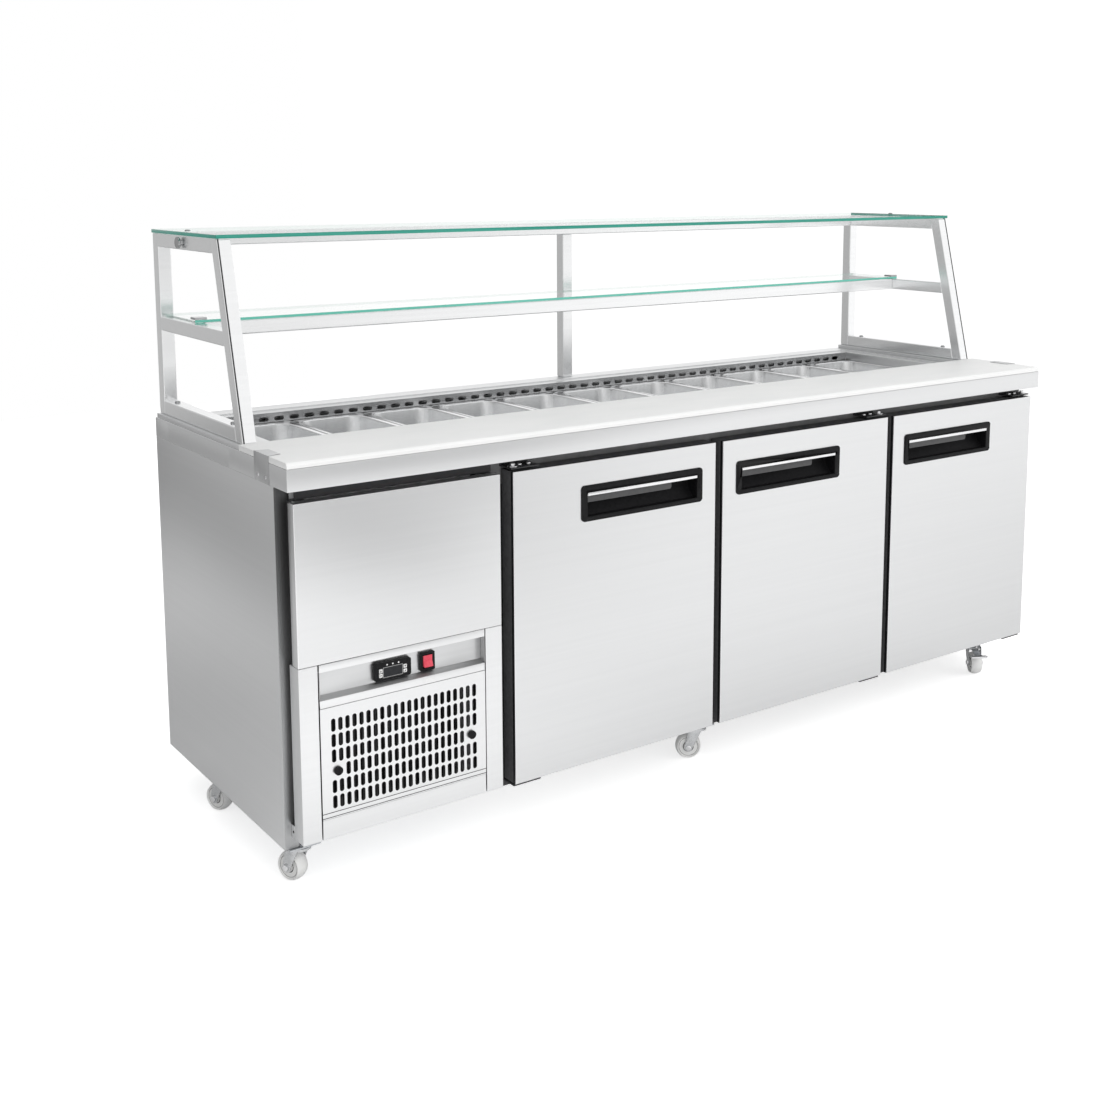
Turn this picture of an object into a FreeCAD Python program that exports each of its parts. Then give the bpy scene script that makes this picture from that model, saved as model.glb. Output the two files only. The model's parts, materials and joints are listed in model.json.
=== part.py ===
import FreeCAD, Part
import math
import os

# Refrigerated sandwich prep counter: +X right, +Y to the rear, +Z up, origin on the floor at the middle.
Vector = FreeCAD.Vector
X_AXIS = Vector(1, 0, 0)
Y_AXIS = Vector(0, 1, 0)
Z_AXIS = Vector(0, 0, 1)

# Overall size
length = 2180.0
depth = 700.0
height = 1255.0

# Sheet metal, seams and fits
sheet = 1.5
clip_sheet = 1.0
seam = 0.5
free_gap = 0.3
running_gap = 0.05
cut_over = 1.0
angle_slack = 0.01

# Levels above the floor
body_underside = 82.0
worktop_level = 838.0
apron_height = 42.0
door_bottom = 105.0
door_top = 771.0

# Depths behind the front of the worktop
door_setback = 8.0
carcass_setback = 62.0

# Insulated body
wall = 54.0
side_flange = 30.0
well_floor_drop = 198.0
base_sheet = 2.0

# Doors
door_count = 3
door_gap = 22.0
door_margin = 19.0
door_thickness = 44.0
door_travel_edge = 12.0
gasket_inset = 14.0
gasket_width = 17.0
gasket_gap = 0.4
frame_cover = 3.0

# Door hinges
hinge_pin_radius = 4.0
hinge_pin_depth = 18.0
hinge_plate = 3.0
hinge_plate_gap = 4.0
hinge_plate_inner = 56.0
hinge_plate_outer = 12.0
hinge_plate_reach = 14.0
hinge_leaf_height = 14.0

# Door handles
handle_width = 332.0
handle_height = 78.0
handle_drop = 90.0
handle_edge = 40.0
handle_proud = 2.0
handle_corner = 9.0
handle_rim = 9.0
pocket_depth = 36.0
grip_half = 150.0
grip_low = -29.0
grip_high = 16.0
grip_lip_depth = 6.0
grip_throat_depth = 12.0
grip_back_depth = 27.0
grip_back_rise = 4.5
grip_back_drop = 14.5
grip_floor = 3.0
strip_height = 7.0
strip_proud = 1.0

# Machine bay front
bay_margin = 14.0
bay_width = 446.0
bay_door_gap = 31.0
bay_bottom = 108.0
bay_split = 457.0
stile_width = 39.0
bottom_rail = 40.0
surround_return = 39.0
stile_return = 30.0
panel_return = 26.0
panel_lip = 17.0
bay_post_inset = 10.0
tab_height = 26.0
bulkhead_tuck = 10.0

# Control panel
lip_height = 15.5
recess_depth = 15.0
recess_height = 49.0
lower_lip_height = 16.0
lip_slope = 6.0

# Vent grille
slot_width = 9.2
slot_height = 26.0
slot_pitch_x = 14.8
slot_pitch_z = 30.7
slot_rows = 6
slot_margin_x = 26.0
slot_margin_top = 36.0
knob_row = 3
knob_radius = 8.5
knob_height = 5.0
knob_stem = 4.5
knob_stem_length = 10.0

# Louvred back of the machine bay
louvre_margin = 78.0
louvre_width = 8.6
louvre_height = 75.0
louvre_pitch = 30.7
louvre_row_pitch = 100.0
louvre_rows = 3

# Temperature controller
controller_offset = 200.0
controls_level = 413.0
controller_width = 80.0
controller_height = 36.0
controller_proud = 8.0
controller_corner = 5.0
housing_width = 71.0
housing_height = 28.0
housing_depth = 46.0
window_width = 41.0
window_height = 19.0
window_drop = 2.5
window_depth = 0.6
button_size = 7.6
button_spread = 26.5
button_pitch = 9.2
button_proud = 0.8
button_length = 2.8
button_well = 2.8
button_corner = 1.3

# Power switch
switch_offset = 278.0
switch_width = 33.0
switch_height = 38.0
switch_proud = 6.0
switch_corner = 3.0
switch_body_half_x = 13.5
switch_body_half_z = 15.5
switch_body_depth = 30.0
switch_back_wall = 3.0
rocker_half_x = 10.0
rocker_half_z = 12.0
rocker_back_half_z = 9.0
rocker_front = 8.0
rocker_dip = 2.2
rocker_back = 5.0
rocker_pivot_depth = 4.0
rocker_tilt = 10.0
rocker_room_x = 0.4
rocker_room_z = 1.6
rocker_pin_radius = 1.5
rocker_pin_length = 2.0

# Pan well
pan_count = 11
well_margin = 97.0
well_setback = 78.0
well_border = 27.0
well_step = 3.0
rim_level = 812.0
ledge_drop = 4.0
ledge_width = 14.0

# Pans
pan_gap = 4.4
pan_length = 325.0
pan_clear = 6.0
pan_front_clear = 16.0
pan_depth = 150.0
pan_sheet = 1.5
pan_rim = 10.0
pan_taper = 6.0
pan_corner = 36.0
pan_rim_corner = 16.0
pan_base_bevel = 14.0

# Divider bars between the pans
divider_half = 8.0
divider_depth = 12.0

# Slotted air duct behind the pans
duct_slot_length = 24.0
duct_slot_height = 10.0
duct_slot_pitch = 37.0
duct_height = 60.0

# Cutting board
board_well_gap = 23.0
board_thickness = 12.5
board_bevel = 5.0

# Board clips
clip_front = 80.0
clip_width = 68.0
clip_reach = 28.0
clip_taper = 7.0
clip_screw_radius = 4.0
clip_screw_head = 1.0
clip_screw_inset = 16.0
clip_screw_level = 12.0

# Glass gantry
tube = 30.0
tube_wall = 1.5
gantry_inset = 11.0
curb_height = 9.0
curb_width = 47.0
curb_inset = 4.0
post_board_gap = 6.0
post_lean = 0.25
top_glass_thickness = 8.0
top_glass_overhang = 6.0
glass_side_margin = 9.0
cap_height = 4.0
shelf_level = 1062.0
shelf_glass_thickness = 6.0
shelf_setback = 205.0
shelf_side_overlap = 18.0
shelf_rear_gap = 0.5
standoff_setback = 175.0
standoff_radius = 12.0
standoff_neck = 6.0
standoff_neck_length = 4.0
standoff_disc = 6.0
bolt_head_radius = 6.0
bolt_head_height = 4.0
bolt_end_distance = 42.0
shelf_clip_size = 26.0
shelf_clip_height = 5.0

# Casters
caster_left_inset = 40.0
caster_middle_offset = -40.0
caster_right_inset = 130.0
caster_front_inset = 20.0
caster_rear_inset = 238.0
caster_angles = (112.0, 145.0, 235.0, 112.0, 150.0, 100.0)
braked_casters = (3,)
wheel_radius = 30.0
wheel_width = 29.0
wheel_shoulder = 26.0
wheel_hub_radius = 11.0
wheel_dish = 3.0
caster_trail = 22.0
caster_plate_x = 64.0
caster_plate_y = 50.0
caster_plate_thickness = 3.0
raceway_radius = 19.0
raceway_height = 3.7
kingpin_radius = 6.0
kingpin_head = 9.0
kingpin_head_height = 2.5
crown_radius = 21.0
crown_thickness = 5.0
fork_sheet = 2.5
fork_room = 1.2
axle_radius = 4.0
axle_head_radius = 7.0
axle_head_height = 4.0
axle_lug = 10.0
pedal_pin_radius = 2.5
pedal_hub_radius = 4.0
pedal_lug = 5.0
pedal_pivot_x = 18.0
pedal_pivot_z = 67.0
pedal_end_x = 57.0
pedal_end_z = 60.5
pedal_sheet = 3.0
pedal_arm_half = 9.0
pedal_bar_half = 23.0
pedal_bar_depth = 13.0
pedal_bar_corner = 4.0
pedal_overlap = 1.0

# Condensing unit in the machine bay
compressor_radius = 78.0
compressor_height = 175.0
compressor_x = 150.0
compressor_setback = 180.0
compressor_foot = 10.0
coil_width = 330.0
coil_height = 300.0
coil_depth = 50.0
coil_setback = 30.0
coil_fins = 33
fin_groove = 6.0
fin_groove_width = 6.0
fan_radius = 120.0
fan_hub_radius = 26.0
fan_hub_length = 24.0
fan_blades = 5
blade_chord = 70.0
blade_thickness = 2.0
blade_pitch = 28.0
fan_clear = 18.0
motor_radius = 34.0
motor_length = 60.0
motor_shaft_radius = 4.0
motor_bracket_half = 20.0

# Evaporator in the cold store
evaporator_depth = 60.0
evaporator_width = 300.0
evaporator_height = 300.0
evaporator_bottom = 290.0
evaporator_y = 80.0
evaporator_fan_radius = 95.0
bracket_sheet = 4.0

# Wire shelves
shelf_height = 420.0
shelf_bar = 8.0
shelf_wire = 4.0
shelf_wire_pitch = 36.0
shelf_room = 12.0
shelf_clip = 20.0

# Places worked out from the sizes above
body_half = length / 2 - clip_sheet - clip_screw_head
front = -depth / 2
rear = depth / 2
apron_bottom = worktop_level - apron_height
side_inner = -body_half + sheet
door_front = front + door_setback
door_back = door_front + door_thickness
carcass_front = front + carcass_setback
frame_lap = gasket_inset + gasket_width + frame_cover
bay_left = -body_half + bay_margin
bay_right = bay_left + bay_width
opening_left = bay_left + stile_width
opening_right = bay_right - stile_width
doors_left = bay_right + bay_door_gap
doors_right = body_half - door_margin
door_width = (doors_right - doors_left - (door_count - 1) * door_gap) / door_count
bulkhead_left = bay_right - bulkhead_tuck
bulkhead_right = doors_left + frame_lap
right_wall_inner = doors_right - frame_lap
floor_top = door_bottom + frame_lap
head_bottom = door_top - frame_lap
well_floor_top = worktop_level - well_floor_drop
hinge_y = door_front + door_thickness / 2
well_half = body_half - well_margin
pan_pitch = 2 * well_half / pan_count
pan_width = pan_pitch - pan_gap
well_rear = rear - well_setback
pan_rear = well_rear - pan_clear
pan_front = pan_rear - pan_length
well_front = pan_front - pan_front_clear
board_back = well_front - well_border - board_well_gap
post_foot_front = board_back + post_board_gap
ledge_top = rim_level - ledge_drop
divider_top = rim_level - pan_sheet - free_gap
control_top = bay_split - seam
recess_top = control_top - lip_height
recess_bottom = recess_top - recess_height
control_bottom = recess_bottom - lip_slope - lower_lip_height
recess_face = door_front + recess_depth
grille_top = control_bottom - seam
grille_bottom = bay_bottom + bottom_rail + seam
controller_x = bay_left + controller_offset
switch_x = bay_left + switch_offset
rocker_pivot_y = recess_face - switch_proud + rocker_pivot_depth
gantry_outer = body_half - gantry_inset
gantry_inner = gantry_outer - tube
gantry_foot = worktop_level + curb_height
glass_top = height - cap_height
gantry_top = glass_top - top_glass_thickness
post_width = tube / math.cos(math.atan(post_lean))
board_top = worktop_level + board_thickness
standoff_rear = rear - standoff_setback
shelf_front = rear - shelf_setback
caster_columns = (-body_half + caster_left_inset, caster_middle_offset, body_half - caster_right_inset)
caster_front_row = carcass_front + caster_front_inset
caster_rear_row = rear - caster_rear_inset
fork_inner = wheel_width / 2 + fork_room
fork_outer = fork_inner + fork_sheet
plate_underside = body_underside - caster_plate_thickness
crown_top = plate_underside - raceway_height - free_gap
crown_bottom = crown_top - crown_thickness
coil_front = carcass_front + coil_setback
fan_centre_x = (opening_left + opening_right) / 2
coil_bottom = body_underside + base_sheet
fan_centre_z = coil_bottom + coil_height / 2
fan_y = coil_front + coil_depth + fan_clear
evaporator_face = bulkhead_right + evaporator_depth
evaporator_fan_x = evaporator_face + fan_clear
evaporator_fan_z = evaporator_bottom + evaporator_height / 2
evaporator_motor_x = evaporator_fan_x + fan_hub_length + fan_clear
evaporator_motor_end = evaporator_motor_x + motor_length / 2
evaporator_end = evaporator_motor_end + bracket_sheet


def box(x0, x1, y0, y1, z0, z1):
    """Block between two opposite corners."""
    return Part.makeBox(x1 - x0, y1 - y0, z1 - z0, Vector(x0, y0, z0))


def rod(radius, start, end):
    """Round rod between two points."""
    along = Vector(*end) - Vector(*start)
    return Part.makeCylinder(radius, along.Length, Vector(*start), along)


def prism(points, along):
    """Flat polygon pushed along a vector."""
    corners = [Vector(*point) for point in points]
    outline = Part.makePolygon(corners + corners[:1])
    return Part.Face(outline).extrude(Vector(*along))


def side_prism(profile, x0, x1):
    """Outline in depth and height, pushed from x0 to x1."""
    points = [(x0, y, z) for y, z in profile]
    return prism(points, (x1 - x0, 0, 0))


def joined(shapes):
    """Several touching shapes as one solid."""
    return shapes[0].multiFuse(shapes[1:]).removeSplitter()


def group(shapes):
    """Separate solids kept together."""
    return Part.makeCompound(shapes)


def flat_frame(outer, inner, z0, z1):
    """Plate with a rectangular hole; both outlines are x0, x1, y0, y1."""
    return box(*outer, z0, z1).cut(box(*inner, z0 - cut_over, z1 + cut_over))


def edges_along(shape, axis):
    """Straight edges of a shape that run along an axis."""
    found = []
    for edge in shape.Edges:
        direction = edge.tangentAt(edge.FirstParameter)
        if direction.cross(axis).Length < angle_slack:
            found.append(edge)
    return found


def rounded_block(corners, radius, axis):
    """Block whose edges along one axis are rounded."""
    block = box(*corners)
    return block.makeFillet(radius, edges_along(block, axis))


def rounded_outline(half_x, half_y, radius, centre):
    """Closed rounded rectangle in a level plane."""
    face = Part.Face(Part.makePolygon([
        centre + Vector(-half_x, -half_y, 0),
        centre + Vector(half_x, -half_y, 0),
        centre + Vector(half_x, half_y, 0),
        centre + Vector(-half_x, half_y, 0),
        centre + Vector(-half_x, -half_y, 0),
    ]))
    block = face.extrude(Z_AXIS)
    rounded = block.makeFillet(radius, edges_along(block, Z_AXIS))
    lowest = min(rounded.Faces, key=lambda side: side.CenterOfMass.z)
    return lowest.OuterWire


def slot_outline(x, y, z, half_length, radius, along):
    """Obround slot in an upright plane facing the front."""
    across = along.cross(Y_AXIS)
    centre = Vector(x, y, z)
    reach = half_length - radius
    ends = [centre + along * reach, centre - along * reach]
    first = Part.LineSegment(ends[1] + across * radius, ends[0] + across * radius).toShape()
    tip = Part.Arc(ends[0] + across * radius, ends[0] + along * radius, ends[0] - across * radius).toShape()
    second = Part.LineSegment(ends[0] - across * radius, ends[1] - across * radius).toShape()
    tail = Part.Arc(ends[1] - across * radius, ends[1] - along * radius, ends[1] + across * radius).toShape()
    return Part.Wire([first, tip, second, tail])


def round_outline(x, y, z, radius):
    """Circle in an upright plane facing the front."""
    return Part.Wire([Part.Circle(Vector(x, y, z), Y_AXIS, radius).toShape()])


def pierced_sheet(x0, x1, z0, z1, y0, y1, holes):
    """Upright sheet with holes given as wires in its front plane."""
    outline = Part.makePolygon([
        Vector(x0, y0, z0),
        Vector(x1, y0, z0),
        Vector(x1, y0, z1),
        Vector(x0, y0, z1),
        Vector(x0, y0, z0),
    ])
    face = Part.makeFace([outline] + holes, "Part::FaceMakerBullseye")
    return face.extrude(Vector(0, y1 - y0, 0))


def mirrored(shape):
    """The same piece on the other side of the counter."""
    return shape.mirror(Vector(0, 0, 0), X_AXIS)


def door_edges(index):
    """Left and right edge of a door, counted from 0 at the left."""
    left = doors_left + index * (door_width + door_gap)
    return left, left + door_width


def door_hinge_x(index):
    """The first door hangs on its left edge and the others on their right edge."""
    left, right = door_edges(index)
    return left + door_travel_edge if index == 0 else right - door_travel_edge


def handle_centre(index):
    """Middle of a handle, near the free edge of its door."""
    left, right = door_edges(index)
    reach = handle_edge + handle_width / 2
    return right - reach if index == 0 else left + reach


def left_side_panel():
    """Folded stainless side of the machine bay."""
    plate = box(-body_half, side_inner, carcass_front, rear, body_underside, apron_bottom)
    flange_end = -body_half + side_flange
    flange_back = carcass_front + sheet
    front_flange = box(-body_half, flange_end, carcass_front, flange_back, body_underside, apron_bottom)
    rear_flange = box(-body_half, flange_end, rear - sheet, rear, body_underside, apron_bottom)
    return joined([plate, front_flange, rear_flange])


def insulated_shell():
    """Foam-filled walls, floor, bulkhead, mullions and the cold well above the machine bay."""
    inner_rear = rear - wall
    behind_flange = carcass_front + sheet
    frame_back = carcass_front + wall
    well_under = well_floor_top - wall
    panels = [
        box(right_wall_inner, body_half, carcass_front, rear, body_underside, apron_bottom),
        box(bulkhead_right, right_wall_inner, inner_rear, rear, body_underside, apron_bottom),
        box(bulkhead_right, right_wall_inner, carcass_front, inner_rear, body_underside, floor_top),
        box(bulkhead_left, bulkhead_right, carcass_front, rear, body_underside, well_floor_top),
        box(bulkhead_left, right_wall_inner, carcass_front, frame_back, head_bottom, apron_bottom),
        box(bulkhead_left, bulkhead_right, carcass_front, frame_back, well_floor_top, head_bottom),
        box(bulkhead_left, bulkhead_right, inner_rear, rear, well_floor_top, apron_bottom),
        box(side_inner, bulkhead_left, behind_flange, inner_rear, well_under, well_floor_top),
        box(side_inner, side_inner + wall, behind_flange, inner_rear, well_floor_top, apron_bottom),
        box(side_inner + wall, bulkhead_left, behind_flange, frame_back, well_floor_top, apron_bottom),
        box(side_inner, bulkhead_left, inner_rear, rear - 2 * sheet, well_under, apron_bottom),
    ]
    for index in range(door_count - 1):
        mullion_left = door_edges(index)[1] - frame_lap
        mullion_right = door_edges(index + 1)[0] + frame_lap
        panels.append(box(mullion_left, mullion_right, carcass_front, frame_back, floor_top, head_bottom))
    return group(panels)


def caster_places():
    """Kingpin place and rest angle of each caster, front row first."""
    rows = [caster_front_row] * len(caster_columns) + [caster_rear_row] * len(caster_columns)
    return [(x, y, angle) for x, y, angle in zip(caster_columns * 2, rows, caster_angles)]


def caster_plate(x, y):
    """Top plate with its raceway and kingpin."""
    half_x = caster_plate_x / 2
    half_y = caster_plate_y / 2
    plate = box(x - half_x, x + half_x, y - half_y, y + half_y, plate_underside, body_underside)
    raceway = rod(raceway_radius, (x, y, plate_underside - raceway_height), (x, y, plate_underside))
    pin_end = crown_bottom - free_gap
    pin = rod(kingpin_radius, (x, y, pin_end), (x, y, plate_underside))
    head = rod(kingpin_head, (x, y, pin_end - kingpin_head_height), (x, y, pin_end))
    return joined([plate, raceway, pin, head])


def louvred_back():
    """Rear sheet of the machine bay with a field of upright slots."""
    top = well_floor_top - wall
    front_y = rear - 2 * sheet
    centre_z = (body_underside + top) / 2
    first = side_inner + louvre_margin
    count = int((bulkhead_left - side_inner - 2 * louvre_margin) / louvre_pitch) + 1
    holes = []
    for column in range(count):
        for row in range(louvre_rows):
            x = first + column * louvre_pitch
            z = centre_z + (row - (louvre_rows - 1) / 2) * louvre_row_pitch
            holes.append(slot_outline(x, front_y, z, louvre_height / 2, louvre_width / 2, Z_AXIS))
    return pierced_sheet(side_inner, bulkhead_left, body_underside, top, front_y, front_y + sheet, holes)


def chassis():
    """Machine bay floor, back sheet, front posts and the caster plates."""
    floor = box(side_inner, bulkhead_left, carcass_front + sheet, rear - 2 * sheet,
                body_underside, body_underside + base_sheet)
    post_front = door_front + panel_return
    low = bay_bottom + sheet
    high = door_top - sheet
    left_post = box(bay_left + bay_post_inset, opening_left - sheet, post_front, carcass_front, low, high)
    right_post = box(opening_right + sheet, bay_right - sheet, post_front, carcass_front, low, high)
    plates = [caster_plate(x, y) for x, y, angle in caster_places()]
    return group([floor, louvred_back(), left_post, right_post] + plates)


def fork_blank():
    """Bent fork with crown, ears and brake lugs, trailing along +X from its swivel axis."""
    crown = rod(crown_radius, (0, 0, crown_bottom), (0, 0, crown_top))
    span = box(-crown_radius, crown_radius / 2, -fork_outer, fork_outer, crown_bottom, crown_top)
    trimmed = crown.common(span)
    profile = [
        (-crown_radius / 2, crown_top),
        (crown_radius / 2, crown_top),
        (pedal_pivot_x + pedal_lug, pedal_pivot_z + pedal_lug),
        (caster_trail + axle_lug, wheel_radius),
        (caster_trail - axle_lug, wheel_radius),
    ]
    ears = []
    for y0 in (-fork_outer, fork_inner):
        ears.append(prism([(x, y0, z) for x, z in profile], (0, fork_sheet, 0)))
        end = (caster_trail, y0 + fork_sheet, wheel_radius)
        ears.append(rod(axle_lug, (caster_trail, y0, wheel_radius), end))
    bore = rod(kingpin_radius + running_gap, (0, 0, crown_bottom - cut_over), (0, 0, crown_top + cut_over))
    reach = fork_outer + cut_over
    axle_hole = rod(axle_radius, (caster_trail, -reach, wheel_radius), (caster_trail, reach, wheel_radius))
    return joined([trimmed] + ears).cut(bore).cut(axle_hole)


def axle_bolt():
    """Axle bolt with a hexagon head and nut outside the ears."""
    reach = fork_outer + axle_head_height
    shank = rod(axle_radius, (caster_trail, -reach, wheel_radius), (caster_trail, reach, wheel_radius))
    heads = []
    for y0 in (-reach, fork_outer):
        corners = []
        for step in range(6):
            angle = math.radians(60 * step)
            x = caster_trail + axle_head_radius * math.cos(angle)
            z = wheel_radius + axle_head_radius * math.sin(angle)
            corners.append((x, y0, z))
        heads.append(prism(corners, (0, axle_head_height, 0)))
    return joined([shank] + heads)


def pedal_rod(radius, half):
    """Round rod on the turning axis of the brake pedal."""
    start = (pedal_pivot_x, -half, pedal_pivot_z)
    end = (pedal_pivot_x, half, pedal_pivot_z)
    return rod(radius, start, end)


def pedal_pin():
    """Pin between the ears that the brake pedal turns on."""
    return pedal_rod(pedal_pin_radius, fork_inner)


def brake_pedal():
    """Pedal lever with hub, sloping arm and foot bar."""
    hub = pedal_rod(pedal_hub_radius, fork_inner - free_gap)
    arm = prism([
        (pedal_pivot_x, -pedal_arm_half, pedal_pivot_z - pedal_sheet / 2),
        (pedal_pivot_x, -pedal_arm_half, pedal_pivot_z + pedal_sheet / 2),
        (pedal_end_x, -pedal_arm_half, pedal_end_z + pedal_sheet / 2),
        (pedal_end_x, -pedal_arm_half, pedal_end_z - pedal_sheet / 2),
    ], (0, 2 * pedal_arm_half, 0))
    bar_start = pedal_end_x - pedal_overlap
    bar_end = pedal_end_x + pedal_bar_depth
    bar_low = pedal_end_z - pedal_sheet
    bar_high = pedal_end_z + pedal_sheet / 2
    bar = rounded_block((bar_start, bar_end, -pedal_bar_half, pedal_bar_half, bar_low, bar_high),
                        pedal_bar_corner, Z_AXIS)
    bore = pedal_rod(pedal_pin_radius + running_gap, fork_outer)
    return joined([hub, arm, bar]).cut(bore)


def caster_wheel():
    """Wheel with a crowned tread, dished sides and a bore that runs on the axle."""
    half = wheel_width / 2
    inner = axle_radius + running_gap
    centre = Vector(caster_trail, 0, wheel_radius)

    def at(radius, y):
        return centre + Vector(radius, y, 0)

    tread = Part.Arc(at(wheel_shoulder, half), at(wheel_radius, 0), at(wheel_shoulder, -half)).toShape()
    corners = [
        at(wheel_shoulder, -half),
        at(wheel_shoulder - wheel_dish, -half + wheel_dish),
        at(wheel_hub_radius, -half + wheel_dish),
        at(wheel_hub_radius, -half),
        at(inner, -half),
        at(inner, half),
        at(wheel_hub_radius, half),
        at(wheel_hub_radius, half - wheel_dish),
        at(wheel_shoulder - wheel_dish, half - wheel_dish),
        at(wheel_shoulder, half),
    ]
    sides = [Part.LineSegment(a, b).toShape() for a, b in zip(corners, corners[1:])]
    section = Part.Face(Part.Wire([tread] + sides))
    return section.revolve(centre, Y_AXIS, 360)


def at_caster(shape, place):
    """Caster piece turned to its rest angle and set under its plate."""
    x, y, angle = place
    turned = shape.copy()
    turned.rotate(Vector(0, 0, 0), Z_AXIS, angle)
    turned.translate(Vector(x, y, 0))
    return turned


def upper_front_panel():
    """Plain stainless cover of the upper machine bay."""
    back = door_front + panel_return
    low = bay_split
    outer = box(bay_left, bay_right, door_front, back, low, door_top)
    hollow = box(bay_left + sheet, bay_right - sheet, door_front + sheet, back - sheet,
                 low + sheet, door_top - sheet)
    mouth = box(bay_left + panel_lip, bay_right - panel_lip, back - 2 * sheet, back + cut_over,
                low + panel_lip, door_top - panel_lip)
    return outer.cut(hollow).cut(mouth)


def bay_surround():
    """Stiles and bottom rail round the control panel and grille."""
    back = door_front + surround_return
    rail_top = bay_bottom + bottom_rail
    rail_low = rail_top - sheet
    outer = box(bay_left, bay_right, door_front, back, bay_bottom, control_top)
    hollow = box(bay_left + sheet, bay_right - sheet, door_front + sheet, back + cut_over,
                 bay_bottom + sheet, control_top + cut_over)
    window = box(opening_left, opening_right, door_front - cut_over, door_front + sheet + cut_over,
                 rail_top, control_top + cut_over)
    face = outer.cut(hollow).cut(window)
    inner_back = door_front + stile_return
    left_return = box(opening_left - sheet, opening_left, door_front, inner_back, rail_low, control_top)
    right_return = box(opening_right, opening_right + sheet, door_front, inner_back, rail_low, control_top)
    low_return = box(opening_left, opening_right, door_front, inner_back, rail_low, rail_top)
    tab_top = bay_bottom + tab_height
    left_tab = box(bay_left, bay_left + sheet, back, carcass_front, bay_bottom, tab_top)
    right_tab = box(bay_right - sheet, bay_right, back, carcass_front, bay_bottom, tab_top)
    return joined([face, left_return, right_return, low_return, left_tab, right_tab])


def control_block(x, half_x, half_z, y0, y1):
    """Block between two depths, centred on a control at its level."""
    return box(x - half_x, x + half_x, y0, y1, controls_level - half_z, controls_level + half_z)


def control_bezel(x, width, height_z, proud, corner):
    """Bezel with rounded corners that stands on the recess face."""
    low = controls_level - height_z / 2
    high = controls_level + height_z / 2
    corners = (x - width / 2, x + width / 2, recess_face - proud, recess_face, low, high)
    return rounded_block(corners, corner, Y_AXIS)


def control_panel():
    """Folded channel that carries the controller and the switch."""
    back = recess_face + sheet
    slope_top = recess_bottom
    slope_front = recess_bottom - lip_slope
    profile = [
        (door_front, control_top),
        (door_front, recess_top),
        (recess_face, recess_top),
        (recess_face, slope_top),
        (door_front, slope_front),
        (door_front, control_bottom),
        (door_front + sheet, control_bottom),
        (door_front + sheet, slope_front - sheet),
        (back, slope_top - sheet),
        (back, recess_top + sheet),
        (door_front + sheet, recess_top + sheet),
        (door_front + sheet, control_top),
    ]
    channel = side_prism(profile, opening_left, opening_right)
    hole_front = recess_face - cut_over
    hole_back = back + cut_over
    controller_hole = control_block(controller_x, housing_width / 2, housing_height / 2,
                                    hole_front, hole_back)
    switch_hole = control_block(switch_x, switch_body_half_x, switch_body_half_z, hole_front, hole_back)
    return channel.cut(controller_hole).cut(switch_hole)


def grille_columns():
    """Places of the slot columns across the grille."""
    room = opening_right - opening_left - 2 * slot_margin_x
    count = int(room / slot_pitch_x) + 1
    middle = (opening_left + opening_right) / 2
    return [middle + (index - (count - 1) / 2) * slot_pitch_x for index in range(count)]


def knob_places():
    """The two round fasteners, each in place of the two end slots of one row."""
    columns = grille_columns()
    z = grille_top - slot_margin_top - knob_row * slot_pitch_z
    return [((columns[0] + columns[1]) / 2, z), ((columns[-1] + columns[-2]) / 2, z)]


def vent_grille():
    """Slotted vent panel with its two round fasteners."""
    columns = grille_columns()
    holes = []
    for row in range(slot_rows):
        z = grille_top - slot_margin_top - row * slot_pitch_z
        used = columns[2:-2] if row == knob_row else columns
        for x in used:
            holes.append(slot_outline(x, door_front, z, slot_height / 2, slot_width / 2, Z_AXIS))
    knobs = []
    for x, z in knob_places():
        holes.append(round_outline(x, door_front, z, knob_stem))
        head = rod(knob_radius, (x, door_front - knob_height, z), (x, door_front, z))
        stem = rod(knob_stem, (x, door_front, z), (x, door_front + knob_stem_length, z))
        knobs.append(joined([head, stem]))
    back = door_front + sheet
    plate = pierced_sheet(opening_left, opening_right, grille_bottom, grille_top, door_front, back, holes)
    return group([plate] + knobs)


def button_places():
    """Middle of each controller button in its own frame face."""
    places = []
    for side in (-1, 1):
        for step in (1, -1):
            x = controller_x + side * button_spread
            z = controls_level - window_drop + step * button_pitch / 2
            places.append((x, z))
    return places


def controller():
    """Temperature controller with a display window and four button wells."""
    face_y = recess_face - controller_proud
    bezel = control_bezel(controller_x, controller_width, controller_height,
                          controller_proud, controller_corner)
    housing = control_block(controller_x, housing_width / 2, housing_height / 2,
                            recess_face, recess_face + housing_depth)
    middle_z = controls_level - window_drop
    half_x = window_width / 2
    half_z = window_height / 2
    window = box(controller_x - half_x, controller_x + half_x, face_y - cut_over, face_y + window_depth,
                 middle_z - half_z, middle_z + half_z)
    body = joined([bezel, housing]).cut(window)
    room = button_size / 2 + free_gap
    for x, z in button_places():
        body = body.cut(box(x - room, x + room, face_y - cut_over, face_y + button_well, z - room, z + room))
    return body


def controller_button(place):
    """One push button of the controller."""
    x, z = place
    half = button_size / 2
    front_y = recess_face - controller_proud - button_proud
    corners = (x - half, x + half, front_y, front_y + button_length, z - half, z + half)
    return rounded_block(corners, button_corner, Y_AXIS)


def switch_pivot(radius, half):
    """Round rod on the turning axis of the rocker."""
    start = (switch_x - half, rocker_pivot_y, controls_level)
    end = (switch_x + half, rocker_pivot_y, controls_level)
    return rod(radius, start, end)


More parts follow.
